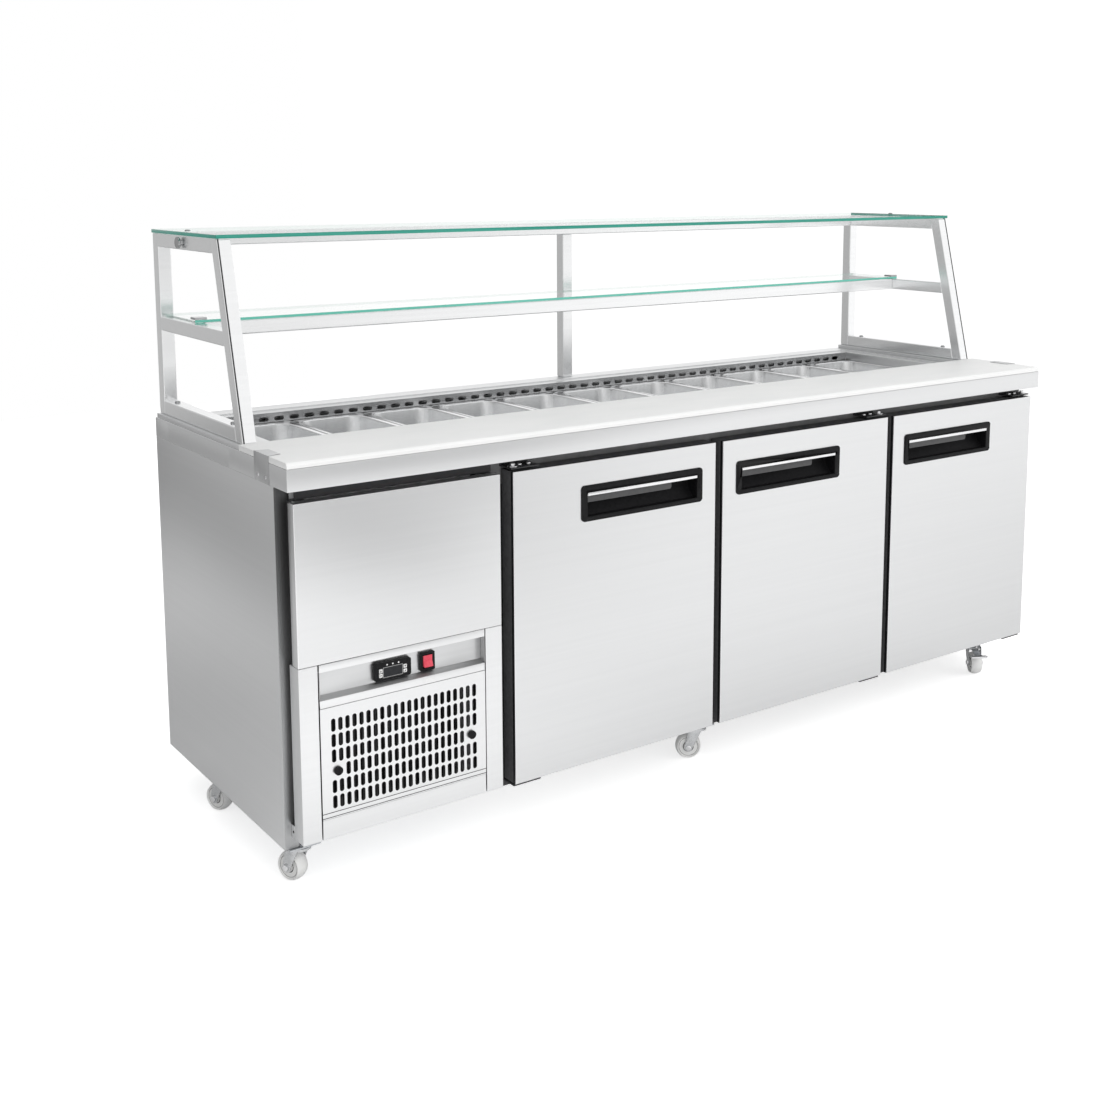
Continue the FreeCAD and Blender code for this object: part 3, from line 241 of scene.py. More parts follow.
def coordinates(tree, kind):
    """A coordinate, and its parts along the axes."""
    place = tree.nodes.new("ShaderNodeTexCoord").outputs[kind]
    split = tree.nodes.new("ShaderNodeSeparateXYZ")
    tree.links.new(place, split.inputs["Vector"])
    return place, split.outputs


def noise(tree, grain, detail=3.0):
    """Noise in the object's own coordinates, stretched by a scale for each axis."""
    place = tree.nodes.new("ShaderNodeTexCoord")
    stretch = tree.nodes.new("ShaderNodeMapping")
    stretch.inputs["Scale"].default_value = grain
    tree.links.new(place.outputs["Object"], stretch.inputs["Vector"])
    pattern = tree.nodes.new("ShaderNodeTexNoise")
    pattern.inputs["Scale"].default_value = 1.0
    pattern.inputs["Detail"].default_value = detail
    tree.links.new(stretch.outputs["Vector"], pattern.inputs["Vector"])
    return pattern.outputs["Fac"]


def tones(tree, value, dark, pale):
    """Colour that goes from one tone to another with a value."""
    ramp = tree.nodes.new("ShaderNodeValToRGB")
    first, last = ramp.color_ramp.elements
    first.position = ramp_low
    first.color = (*dark, 1.0)
    last.position = ramp_high
    last.color = (*pale, 1.0)
    tree.links.new(value, ramp.inputs["Fac"])
    return ramp.outputs["Color"]


def mapped(tree, value, near, far, low, high, kind):
    """Value brought from one range into another."""
    span = tree.nodes.new("ShaderNodeMapRange")
    span.interpolation_type = kind
    span.inputs["From Min"].default_value = near
    span.inputs["From Max"].default_value = far
    span.inputs["To Min"].default_value = low
    span.inputs["To Max"].default_value = high
    tree.links.new(value, span.inputs["Value"])
    return span.outputs["Result"]


def spread(tree, value, low, high):
    """Noise brought into a narrow range."""
    return mapped(tree, value, noise_low, noise_high, low, high, "LINEAR")


def faded(tree, value, near, far, low, high):
    """Smooth change between two values."""
    return mapped(tree, value, near, far, low, high, "SMOOTHSTEP")


def combined(tree, operation, first, second):
    """Two values brought together."""
    node = tree.nodes.new("ShaderNodeMath")
    node.operation = operation
    tree.links.new(first, node.inputs[0])
    tree.links.new(second, node.inputs[1])
    return node.outputs["Value"]


def measured(tree, operation, place, x, y):
    """Distance from a point on the floor, or how far a direction faces a level one."""
    node = tree.nodes.new("ShaderNodeVectorMath")
    node.operation = operation
    node.inputs[1].default_value = (x, y, 0.0)
    tree.links.new(place, node.inputs[0])
    return node.outputs["Value"]


def relief(tree, shader, value, strength, height):
    """Fine bumps on a surface."""
    bump = tree.nodes.new("ShaderNodeBump")
    bump.inputs["Strength"].default_value = strength
    bump.inputs["Distance"].default_value = height
    tree.links.new(value, bump.inputs["Height"])
    tree.links.new(bump.outputs["Normal"], shader.inputs["Normal"])


def even(number):
    """One number three times: an even grain or a grey."""
    return (number, number, number)


def surface(name, dark, pale, gloss, grain, metallic=0.0, bumps=0.0, height=0.0001, bump_grain=None):
    """Material whose tone, roughness and relief follow its own noises."""
    material, tree, shader = new_material(name)
    shader.inputs["Metallic"].default_value = metallic
    tone = noise(tree, grain)
    tree.links.new(tones(tree, tone, dark, pale), shader.inputs["Base Color"])
    fine = noise(tree, bump_grain or grain)
    tree.links.new(spread(tree, fine, *gloss), shader.inputs["Roughness"])
    if bumps:
        relief(tree, shader, fine, bumps, height)
    return material


def brushed(name, along, dark, pale, gloss=(0.32, 0.35), bumps=0.02):
    """Brushed stainless sheet with its grain along one axis."""
    fine = list(even(fine_across))
    fine[along] = fine_along
    broad = list(even(broad_across))
    broad[along] = broad_along
    return surface(name, dark, pale, gloss, tuple(broad), 1.0, bumps, brush_height, tuple(fine))


def graded(name, low, high, dark, pale, gloss, metallic):
    """Material whose tone changes with the level above the floor."""
    material, tree, shader = new_material(name)
    shader.inputs["Metallic"].default_value = metallic
    along = coordinates(tree, "Object")[1]
    level = faded(tree, along["Z"], low, high, ramp_low, ramp_high)
    grain = noise(tree, (fine_across, fine_across, fine_along))
    tone = combined(tree, "ADD", level, spread(tree, grain, -0.03, 0.03))
    tree.links.new(tones(tree, tone, dark, pale), shader.inputs["Base Color"])
    tree.links.new(spread(tree, grain, *gloss), shader.inputs["Roughness"])
    return material


def glass(name, dark, pale, clear):
    """Glass with a faint tint that varies a little."""
    material = surface(name, dark, pale, (0.01, 0.03), even(3.0))
    set_socket(material, "Transmission Weight", clear)
    set_socket(material, "IOR", glass_bend)
    return material


# Steel sheets and metal parts
steel_tones = ((0.785, 0.79, 0.795), (0.80, 0.805, 0.81))
steel_x = brushed("steel_front", 0, *steel_tones)
steel_y = brushed("steel_side", 1, *steel_tones)
# Painted light: the gantry tubes get a paler copy of the brushed sheet steel
tube_steel_painted_light = brushed("tube_steel_painted_light", 0, (0.90, 0.905, 0.91), (0.93, 0.935, 0.94), (0.18, 0.24))
# Painted light: the machine bay front gets a paler copy of the brushed sheet steel
bay_steel_painted_light = brushed("bay_steel_painted_light", 0, (0.85, 0.855, 0.86), (0.87, 0.875, 0.88))
# Painted shade: the air duct strip behind the pans gets a darker copy of the brushed steel
duct_steel_painted_shade = brushed("duct_steel_painted_shade", 0, (0.50, 0.505, 0.51), (0.56, 0.565, 0.57), (0.26, 0.34))
# Painted shade: the board clips get a darker copy of the brushed steel
clip_steel_painted_shade = brushed("clip_steel_painted_shade", 2, (0.58, 0.585, 0.59), (0.64, 0.645, 0.65))
# Painted shade: the back of the control recess, its sloping ledge and its end plates get darker copies of the
# brushed steel
recess_steel_painted_shade = brushed("recess_steel_painted_shade", 0, (0.66, 0.665, 0.67), (0.69, 0.695, 0.70))
ledge_steel_painted_shade = brushed("ledge_steel_painted_shade", 0, (0.50, 0.502, 0.505), (0.55, 0.552, 0.555), (0.45, 0.55))
# Painted shade: the front flange of the side panel goes darker towards the top
flange_steel_painted_shade = graded("flange_steel_painted_shade", 0.2, 0.75, (0.52, 0.525, 0.53), (0.12, 0.121, 0.122), (0.4, 0.5), 1.0)
pan_steel = brushed("pan_steel", 2, (0.77, 0.775, 0.78), (0.83, 0.835, 0.84), (0.18, 0.24))
# Bright steel for screws, bolts, pivots and pedals; also painted highlight on pan rims, door edges and panel
# edges
bright_steel_and_highlight = surface("bright_steel_and_highlight", (0.84, 0.84, 0.85), (0.90, 0.90, 0.91), (0.12, 0.2), even(60.0), 1.0)
chrome = surface("chrome", (0.36, 0.365, 0.37), (0.44, 0.445, 0.45), (0.05, 0.10), even(60.0), 1.0)
galvanised = surface("galvanised", (0.52, 0.54, 0.56), (0.66, 0.68, 0.70), (0.38, 0.52), even(60.0), 1.0)
zinc = surface("zinc", (0.58, 0.59, 0.60), (0.68, 0.69, 0.70), (0.20, 0.32), even(90.0), 1.0)
alloy = surface("alloy", (0.60, 0.61, 0.62), (0.72, 0.73, 0.74), (0.35, 0.45), even(50.0), 1.0)

# Painted, plastic and rubber parts
dark_steel = surface("dark_steel", (0.02, 0.02, 0.022), (0.04, 0.04, 0.043), (0.35, 0.5), even(120.0))
compressor_paint = surface("compressor_paint", (0.015, 0.015, 0.016), (0.03, 0.03, 0.032), (0.3, 0.45),
                           even(60.0))
coated_wire = surface("coated_wire", (0.78, 0.79, 0.80), (0.86, 0.87, 0.88), (0.25, 0.35), even(90.0))
board_white = surface("board_white", (0.86, 0.865, 0.86), (0.90, 0.90, 0.895), (0.42, 0.55),
                      (6.0, 14.0, 14.0), bumps=0.10, bump_grain=even(500.0))
nylon = surface("white_nylon", (0.83, 0.83, 0.82), (0.89, 0.89, 0.88), (0.32, 0.42), even(80.0))
# Grey for the display surround; also painted shade in the rim grooves of the wheels
grey_trim_and_groove_shade = surface("grey_trim_and_groove_shade", (0.36, 0.36, 0.355), (0.44, 0.44, 0.435), (0.4, 0.5), even(80.0))
black_plastic = surface("black_plastic", (0.006, 0.006, 0.0065), (0.011, 0.011, 0.012), (0.38, 0.48),
                        even(150.0), bumps=0.08, height=plastic_height, bump_grain=even(1500.0))
# Painted light: a lighter copy of the black plastic for the door edges behind the groove
edge_plastic_painted_light = surface("edge_plastic_painted_light", (0.09, 0.09, 0.093), (0.12, 0.12, 0.124), (0.40, 0.50),
                       even(150.0), bumps=0.08, height=plastic_height, bump_grain=even(1500.0))
# Painted light: the head strip of the front frame above the doors is a lighter grey than the dark strips
# lower down
breaker_painted_light = surface("breaker_strip_painted_light", (0.20, 0.20, 0.205), (0.25, 0.25, 0.255), (0.45, 0.55), even(40.0))
bar_grey = surface("bar_grey", (0.085, 0.085, 0.088), (0.105, 0.105, 0.108), (0.35, 0.45), even(90.0))
# Dark rubber for gaskets, frame strips and post seams; also painted shade on the bay head strip and in the
# wheel hub grooves
rubber_and_shade = surface("rubber_and_shade", (0.030, 0.030, 0.032), (0.045, 0.045, 0.048), (0.55, 0.7), even(90.0))
liner = surface("liner", (0.70, 0.71, 0.72), (0.78, 0.79, 0.80), (0.38, 0.5), even(8.0))
key_white = surface("key_white", (0.80, 0.80, 0.79), (0.87, 0.87, 0.86), (0.35, 0.45), even(400.0))
mark_white = surface("mark_white", (0.80, 0.80, 0.80), (0.88, 0.88, 0.88), (0.4, 0.5), even(600.0))
key_red = surface("key_red", (0.68, 0.055, 0.09), (0.78, 0.085, 0.125), (0.12, 0.2), even(220.0))
screen = surface("screen", (0.022, 0.023, 0.025), (0.032, 0.033, 0.036), (0.30, 0.40), even(90.0))
for dull in (black_plastic, edge_plastic_painted_light, screen):
    set_socket(dull, "Specular IOR Level", 0.14)

# Glass faces and their greener edges
pane = glass("pane", (0.86, 0.94, 0.91), (0.90, 0.96, 0.94), 0.0)
pane_edge = glass("pane_edge", (0.015, 0.25, 0.18), (0.03, 0.32, 0.24), 0.15)
pane_rear = glass("pane_rear", (0.45, 0.72, 0.62), (0.52, 0.78, 0.68), 0.0)
shelf_edge = glass("shelf_edge", (0.10, 0.50, 0.38), (0.14, 0.58, 0.46), 0.15)
set_socket(pane, "Alpha", 0.10)
set_socket(pane_rear, "Alpha", 0.22)


def drop_inner_seams(shape):
    """Remove faces where two welded sections meet."""
    seen = {}
    for face in shape.faces:
        key = tuple(sorted(vert.index for vert in face.verts))
        seen.setdefault(key, []).append(face)
    twins = [face for faces in seen.values() if len(faces) > 1 for face in faces]
    bmesh.ops.delete(shape, geom=twins, context="FACES")


def copied(node):
    """Shape of a built piece with welded corners and merged flat facets."""
    shape = bmesh.new()
    shape.from_mesh(nodes[node].data)
    bmesh.ops.remove_doubles(shape, verts=shape.verts, dist=weld)
    drop_inner_seams(shape)
    bmesh.ops.dissolve_limit(shape, angle_limit=merge_angle, verts=shape.verts, edges=shape.edges)
    return shape


def block(shape, low, high):
    """Add a block between two corners."""
    corners = [(x, y, z) for z in (low[2], high[2]) for y in (low[1], high[1]) for x in (low[0], high[0])]
    verts = [shape.verts.new(corner) for corner in corners]
    for loop in ((0, 2, 3, 1), (4, 5, 7, 6), (0, 1, 5, 4), (2, 6, 7, 3), (0, 4, 6, 2), (1, 3, 7, 5)):
        shape.faces.new([verts[index] for index in loop])


def prism(shape, outline, along):
    """Add a flat outline pushed along a vector."""
    shift = Vector(along)
    near = [shape.verts.new(point) for point in outline]
    far = [shape.verts.new(Vector(point) + shift) for point in outline]
    faces = [shape.faces.new(near), shape.faces.new(list(reversed(far)))]
    count = len(outline)
    for index in range(count):
        after = (index + 1) % count
        faces.append(shape.faces.new((near[index], far[index], far[after], near[after])))
    bmesh.ops.recalc_face_normals(shape, faces=faces)


def joined(shape, loops):
    """Join loops of equal length with faces."""
    faces = []
    for first, second in zip(loops, loops[1:]):
        for index in range(len(first)):
            after = (index + 1) % len(first)
            faces.append(shape.faces.new((first[index], first[after], second[after], second[index])))
    return faces


def circles(shape, centre, axis, profile, sides):
    """Add the points of circles from radius and height pairs along an axis."""
    axis = Vector(axis).normalized()
    across = axis.orthogonal().normalized()
    other = axis.cross(across)
    rings = []
    for radius, height in profile:
        ring = []
        for step in range(sides):
            angle = 2.0 * math.pi * step / sides
            offset = across * math.cos(angle) * radius + other * math.sin(angle) * radius
            ring.append(shape.verts.new(Vector(centre) + axis * height + offset))
        rings.append(ring)
    return rings


def turned(shape, centre, axis, profile, sides=32):
    """Add a round piece from radius and height pairs along an axis."""
    rings = circles(shape, centre, axis, profile, sides)
    faces = joined(shape, rings)
    faces.append(shape.faces.new(list(reversed(rings[0]))))
    faces.append(shape.faces.new(rings[-1]))
    bmesh.ops.recalc_face_normals(shape, faces=faces)


def hoop(shape, centre, axis, inner, outer, low, high, sides=40):
    """Add a flat ring between two radii and two heights along an axis."""
    rings = circles(shape, centre, axis, [(inner, low), (outer, low), (outer, high), (inner, high)], sides)
    faces = joined(shape, rings + rings[:1])
    bmesh.ops.recalc_face_normals(shape, faces=faces)


def screw_head(shape, centre, axis, radius, height):
    """Add a low domed screw head."""
    profile = [(radius, 0.0), (radius, 0.45 * height), (0.85 * radius, 0.8 * height), (0.45 * radius, height)]
    turned(shape, centre, axis, profile, 20)


def piece(name, shape, body, materials, edge=0.0, steps=3, shortest=0.003, pick=None, hides=(), slot=None,
          edge_slot=-1, limit=crease):
    """Make a visible piece from a shape: materials, rounded edges, and the body that it rides on."""
    shape.normal_update()
    weight = shape.edges.layers.float.new("bevel_weight_edge")
    for corner in shape.edges:
        if len(corner.link_faces) != 2:
            corner.smooth = False
        elif corner.calc_face_angle() > limit:
            if edge and corner.calc_length() > shortest:
                corner[weight] = 1.0
            else:
                corner.smooth = False
    for face in shape.faces:
        face.smooth = True
        if pick:
            face.material_index = pick(face.normal, face.calc_center_median())
    mesh = bpy.data.meshes.new(name)
    shape.to_mesh(mesh)
    shape.free()
    for material in materials:
        mesh.materials.append(material)
    made = bpy.data.objects.new(name, mesh)
    scene.collection.objects.link(made)
    if edge:
        rounding = made.modifiers.new("rounding", "BEVEL")
        rounding.width = edge
        rounding.segments = steps
        rounding.limit_method = "WEIGHT"
        rounding.use_clamp_overlap = False
        rounding.harden_normals = True
        rounding.material = edge_slot
    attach(made, body)
    if hides:
        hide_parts(*hides)


def dressed(node, body, materials, **options):
    """A built piece shown with its own materials and rounded edges."""
    piece(node + "_skin", copied(node), body, materials, hides=(node,), **options)


def clip_part(normal, centre):
    """Bright screws on the clip, whose darker steel is painted shade."""
    return 1 if abs(centre.x) > clip_face else 0


# Worktop, well and board
dressed("worktop", "counter", [steel_x], edge=0.0007, slot="stainless_steel")
dressed("cutting_board", "board", [board_white], edge=0.0016, slot="white_board")
dressed("board_clips", "counter", [clip_steel_painted_shade, bright_steel_and_highlight], edge=0.0004, pick=clip_part,
        slot="stainless_steel")
dressed("air_duct", "counter", [duct_steel_painted_shade], slot="stainless_steel")
dressed("pan_dividers", "counter", [steel_y], edge=0.0005, slot="stainless_steel")


def rounded_loop(shape, low, high, inset, radius, level):
    """Add the points of a rounded rectangle at a level, inset from a box."""
    points = []
    x0, x1 = low.x + inset + radius, high.x - inset - radius
    y0, y1 = low.y + inset + radius, high.y - inset - radius
    for turn, (x, y) in enumerate(((x1, y1), (x0, y1), (x0, y0), (x1, y0))):
        for step in range(corner_steps + 1):
            angle = quarter * (turn + step / corner_steps)
            spot = (x + radius * math.cos(angle), y + radius * math.sin(angle), level)
            points.append(shape.verts.new(spot))
    return points


def skinned(shape, loops):
    """Join loops of equal length with faces and close the last one."""
    joined(shape, loops)
    shape.faces.new(loops[-1])


def fillet(inset, level, radius, side, steps=5):
    """Inset and level pairs round a quarter circle that starts level and ends upright, or the other way."""
    pairs = []
    for step in range(steps + 1):
        angle = quarter * step / steps
        if side == "lip":
            pairs.append((inset + radius * math.sin(angle), level - radius * (1.0 - math.cos(angle))))
        else:
            pairs.append((inset + radius * (1.0 - math.cos(angle)), level - radius * math.sin(angle)))
    return pairs


def pressed_pan(node):
    """Pan with a flat rim, a rounded lip, tapered walls and a rounded foot."""
    low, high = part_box(node)
    shape = bmesh.new()
    rim, base = high.z, low.z
    inside = fillet(pan_rim - pan_lip + pan_wall, rim, pan_lip, "lip")
    inside += fillet(pan_rim + pan_taper + pan_wall, base + pan_wall + pan_foot, pan_foot, "foot")
    outside = [(pan_rim, rim - pan_wall), (pan_rim + pan_taper, base + pan_foot)]
    outside += fillet(pan_rim + pan_taper, base + pan_foot, pan_foot, "foot")[1:]
    edge = [rounded_loop(shape, low, high, 0.0, pan_rim_corner, level) for level in (rim - pan_wall, rim)]
    inner = [rounded_loop(shape, low, high, inset, pan_corner, level) for inset, level in inside]
    outer = [rounded_loop(shape, low, high, inset, pan_corner, level) for inset, level in outside]
    skinned(shape, edge + inner)
    skinned(shape, edge[:1] + outer)
    bmesh.ops.recalc_face_normals(shape, faces=shape.faces)
    return shape


def rim_side(normal, centre):
    """Painted highlight: the flat rim of the pressed pan gets the brighter steel."""
    return 1 if normal.z > 0.9 and centre.z > pan_rim_level else 0


for index in range(1, pan_count + 1):
    pan = f"pan_{index}"
    piece(f"{pan}_skin", pressed_pan(pan), pan, [pan_steel, bright_steel_and_highlight], edge=0.0005, steps=2,
          pick=rim_side, hides=(pan,), slot="stainless_steel")


def post_line(z, offset):
    """Depth of the leaning front post at a level."""
    return post_front + (z - gantry_foot) * post_lean + offset


def gantry_tubes():
    """Square tubes of the gantry."""
    shape = bmesh.new()
    for x0 in (-gantry_outer, gantry_inner):
        x1 = x0 + tube
        outline = [
            (x0, post_line(gantry_foot, 0.0), gantry_foot),
            (x0, post_line(gantry_foot, post_width), gantry_foot),
            (x0, post_line(gantry_top, post_width), gantry_top),
            (x0, post_line(gantry_top, 0.0), gantry_top),
        ]
        prism(shape, outline, (tube, 0.0, 0.0))
        block(shape, (x0, rear - tube, gantry_foot), (x1, rear, gantry_top))
        for low in (gantry_foot, shelf_level - tube, gantry_top - tube):
            high = low + tube
            outline = [
                (x0, post_line(low, post_width), low),
                (x0, rear - tube, low),
                (x0, rear - tube, high),
                (x0, post_line(high, post_width), high),
            ]
            prism(shape, outline, (tube, 0.0, 0.0))
    low = gantry_top - tube
    block(shape, (-gantry_inner, rear - tube, low), (gantry_inner, rear, gantry_top))
    shelf_rail_high = (gantry_inner, shelf_front + tube, shelf_level)
    block(shape, (-gantry_inner, shelf_front, shelf_level - tube), shelf_rail_high)
    block(shape, (-tube / 2, rear - tube, worktop_level), (tube / 2, rear, low))
    return shape


def gantry_fittings():
    """Bolts, glass holders and shelf clips of the gantry."""
    shape = bmesh.new()
    middle = gantry_outer - tube / 2
    bolt_level = gantry_foot + tube
    holder_level = gantry_top - tube / 2
    clip_low = shelf_level + shelf_sheet
    for side in (-1, 1):
        for y in (post_line(bolt_level, post_width) + bolt_inset, rear - tube - bolt_inset):
            screw_head(shape, (side * middle, y, bolt_level), upward, bolt_radius, bolt_height)
        turned(shape, (side * gantry_outer, holder_depth, holder_level), (side, 0, 0), holder_profile)
        screw_head(shape, (side * middle, holder_depth, glass_top), upward, bolt_radius, glass_bolt_height)
        x0, x1 = sorted((side * (gantry_inner + clip_outer), side * (gantry_inner - clip_inner)))
        block(shape, (x0, shelf_front, clip_low), (x1, shelf_front + clip_depth, clip_low + clip_height))
    return shape


def post_seams():
    """Dark joint lines down the outer front corner of each leaning post."""
    shape = bmesh.new()
    for side in (-1, 1):
        near = side * (gantry_outer - seam_inset)
        far = side * (gantry_outer - seam_inset - seam_width)
        outline = [
            (near, post_line(gantry_foot, -seam_proud), gantry_foot),
            (far, post_line(gantry_foot, -seam_proud), gantry_foot),
            (far, post_line(gantry_top, -seam_proud), gantry_top),
            (near, post_line(gantry_top, -seam_proud), gantry_top),
        ]
        prism(shape, outline, (0.0, 2.0 * seam_proud, 0.0))
    return shape


def by_side(normal, centre):
    """Glass faces: clear above and below, green at the front edge and the ends, paler at the rear edge."""
    if abs(normal.z) > square_on:
        return 0
    return 2 if normal.y > square_on else 1


def by_front(normal, centre):
    """Glass faces: clear above and below, green at the front edge, paler at the other edges."""
    if abs(normal.z) > square_on:
        return 0
    return 1 if normal.y < -square_on else 2


piece("gantry_tubes", gantry_tubes(), "counter", [tube_steel_painted_light], edge=tube_edge, steps=4,
      hides=("gantry_frame",), slot="stainless_steel")
piece("gantry_fittings", gantry_fittings(), "counter", [chrome], edge=0.0006, steps=2, slot="stainless_steel")
piece("gantry_post_seams", post_seams(), "counter", [rubber_and_shade], slot="dark_steel")
dressed("top_glass", "counter", [pane, pane_edge, pane_rear], edge=0.0008, pick=by_side,
        slot="shelf_glass")
dressed("shelf_glass", "counter", [pane, shelf_edge, pane_rear], edge=0.0008, pick=by_front,
        slot="shelf_glass")


def shell_side(normal, centre):
    """Dark frame strips at the front, with painted light on the head strip above the doors, steel outside,
    pale liner inside.
    """
    if normal.y < -square_on and centre.y < frame_front + frame_step:
        return 3 if centre.z > breaker_low else 1
    if centre.y > shell_back:
        return 4
    return 0 if centre.x > shell_end or centre.z < shell_bottom else 2


def flange_side(normal, centre):
    """The front flange of the side panel lies in the shade of the bay and gets painted shade, darker towards
    the top.
    """
    return 1 if normal.y < -square_on else 0


def chassis_part(normal, centre):
    """Painted shade on the posts behind the bay front, galvanised sheet elsewhere."""
    return 1 if centre.y < chassis_post_depth and centre.z > chassis_floor else 0


def single_block(low, high):
    """Shape of one block."""
    shape = bmesh.new()
    block(shape, low, high)
    return shape


# Body shell
dressed("insulated_shell", "counter", [steel_y, rubber_and_shade, liner, breaker_painted_light, steel_x], pick=shell_side,
        slot="insulated_panel")
dressed("left_side_panel", "counter", [steel_y, flange_steel_painted_shade], edge=0.0012, pick=flange_side,
        slot="stainless_steel")
dressed("chassis", "counter", [galvanised, dark_steel], pick=chassis_part, slot="galvanised_steel")
# Painted highlight: the rounded edges of the upper front panel get the brighter steel
dressed("upper_front_panel", "counter", [steel_x, bright_steel_and_highlight], edge=0.0014, edge_slot=1,
        slot="stainless_steel")
# Painted shade: a dark strip under the apron across the bay stands in for the shade there
piece("bay_head_shade_strip", single_block(head_low, head_high), "counter", [rubber_and_shade], slot="dark_steel")


def bay_frame():
    """Two stiles and a bottom rail with open joints between them."""
    shape = bmesh.new()
    stile_top = bay_split - stile_gap
    left_stile = (bay_left, opening_left, bay_left)
    right_stile = (opening_right, bay_right, bay_right - tab_sheet)
    for x0, x1, tab in (left_stile, right_stile):
        block(shape, (x0, panel_front, bay_bottom), (x1, stile_back, stile_top))
        block(shape, (tab, stile_back, bay_bottom), (tab + tab_sheet, frame_front, tab_top))
    left, right = opening_left + seam_gap, opening_right - seam_gap
    block(shape, (left, panel_front, bay_bottom), (right, panel_front + rail_depth, rail_top))
    return shape


def narrowed(shape):
    """Draw in the ends of an insert so that a dark joint shows beside the stiles."""
    for vert in shape.verts:
        if vert.co.x < opening_left + weld:
            vert.co.x += seam_gap
        elif vert.co.x > opening_right - weld:
            vert.co.x -= seam_gap
    return shape


def ledge_side(normal, centre):
    """The back and the sloping ledge of the control recess are in shade, so they get painted shade in darker
    steel.
    """
    if normal.z > 0.6 and centre.z < ledge_level:
        return 1
    return 2 if normal.y < -square_on and centre.y > panel_front + recess_step else 0


def grille_part(normal, centre):
    """Black knobs, and painted shade on the slot walls of the steel grille."""
    for x in knob_columns:
        if math.hypot(centre.x - x, centre.z - knob_level) < knob_radius:
            return 1
    within_x = opening_left + slot_margin < centre.x < opening_right - slot_margin
    within_z = rail_top + slot_margin < centre.z < grille_top - slot_margin
    return 1 if abs(normal.y) < square_on and within_x and within_z else 0


def grille_trim():
    """Double strip along the bottom of the grille."""
    shape = bmesh.new()
    left, right = opening_left + seam_gap, opening_right - seam_gap
    near, far = panel_front - trim_proud, panel_front + trim_proud
    for low in trim_levels:
        block(shape, (left, near, low), (right, far, low + trim_height))
    return shape


def recess_ends():
    """Upright plates that close the two ends of the control recess, in the darker steel of painted shade."""
    shape = bmesh.new()
    for x in (opening_left + seam_gap, opening_right - seam_gap - recess_sheet):
        low = (x, panel_front + recess_near, recess_low)
        high = (x + recess_sheet, panel_front + recess_far, recess_high)
        block(shape, low, high)
    return shape


def bay_screw():
    """Small screw in the tab at the foot of the left stile."""
    shape = bmesh.new()
    place = (bay_left, bay_screw_depth, bay_screw_level)
    screw_head(shape, place, (-1, 0, 0), bay_screw_radius, bay_screw_height)
    return shape


# Machine bay front
piece("bay_surround_skin", bay_frame(), "counter", [bay_steel_painted_light], edge=0.0012, hides=("bay_surround",),
      slot="stainless_steel")
piece("control_panel_skin", narrowed(copied("control_panel")), "counter",
      [bay_steel_painted_light, ledge_steel_painted_shade, recess_steel_painted_shade], edge=0.0008, pick=ledge_side, hides=("control_panel",),
      slot="stainless_steel")
piece("vent_grille_skin", narrowed(copied("vent_grille")), "counter", [bay_steel_painted_light, black_plastic],
      pick=grille_part, hides=("vent_grille",), slot="stainless_steel")
piece("recess_ends", recess_ends(), "counter", [ledge_steel_painted_shade], slot="stainless_steel")
piece("grille_trim", grille_trim(), "counter", [dark_steel], slot="dark_steel")
piece("bay_screw", bay_screw(), "counter", [dark_steel], slot="dark_steel")
blank_label = single_block((label_left, panel_front - label_proud, label_low),
                           (label_right, panel_front + label_sunk, label_high))
piece("blank_label", blank_label, "counter", [mark_white], slot="white_plastic")


def front_middle(low, high):
    """Middle of a box as seen from the front."""
    return (low.x + high.x) / 2, (low.z + high.z) / 2


def mark_outline(mark, size):
    """Corners of the small sign on a key, round its middle."""
    thin = 0.35 * size
    small = 0.6 * size
    signs = {
        "up": [(-size, -size), (size, -size), (0.0, size)],
        "down": [(-size, size), (0.0, -size), (size, size)],
        "bar": [(-size, -thin), (size, -thin), (size, thin), (-size, thin)],
        "dot": [(-small, -small), (small, -small), (small, small), (-small, small)],
    }
    return signs[mark]


def key_sign(key, mark):
    """Thin sign on the face of a key."""
    low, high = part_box(key)
    middle_x, middle_z = front_middle(low, high)
    outline = mark_outline(mark, (high.x - low.x) * mark_share)
    shape = bmesh.new()
    corners = [(middle_x + x, low.y - mark_proud, middle_z + z) for x, z in outline]
    prism(shape, corners, (0.0, mark_depth, 0.0))
    return shape


def display_window(face, x, z):
    """Dark pane of the display."""
    low = (x - window_half_x, face + window_near, z - window_half_z)
    return single_block(low, (x + window_half_x, face + window_far, z + window_half_z))


def display_surround(face, x, z):
    """Grey line round the display."""
    shape = bmesh.new()
    near, far = face - surround_proud, face + surround_sunk
    outer_x = surround_half_x + surround_width
    outer_z = surround_half_z + surround_width
    for side in (-1, 1):
        z0, z1 = sorted((z + side * surround_half_z, z + side * outer_z))
        block(shape, (x - outer_x, near, z0), (x + outer_x, far, z1))
        x0, x1 = sorted((x + side * surround_half_x, x + side * outer_x))
        block(shape, (x0, near, z - surround_half_z), (x1, far, z + surround_half_z))
    return shape


def display_lamps(face, x, z):
    """Row of three small lamps."""
    shape = bmesh.new()
    for step in (-1, 0, 1):
        screw_head(shape, (x + step * lamp_step, face, z), (0, -1, 0), lamp_radius, lamp_height)
    return shape


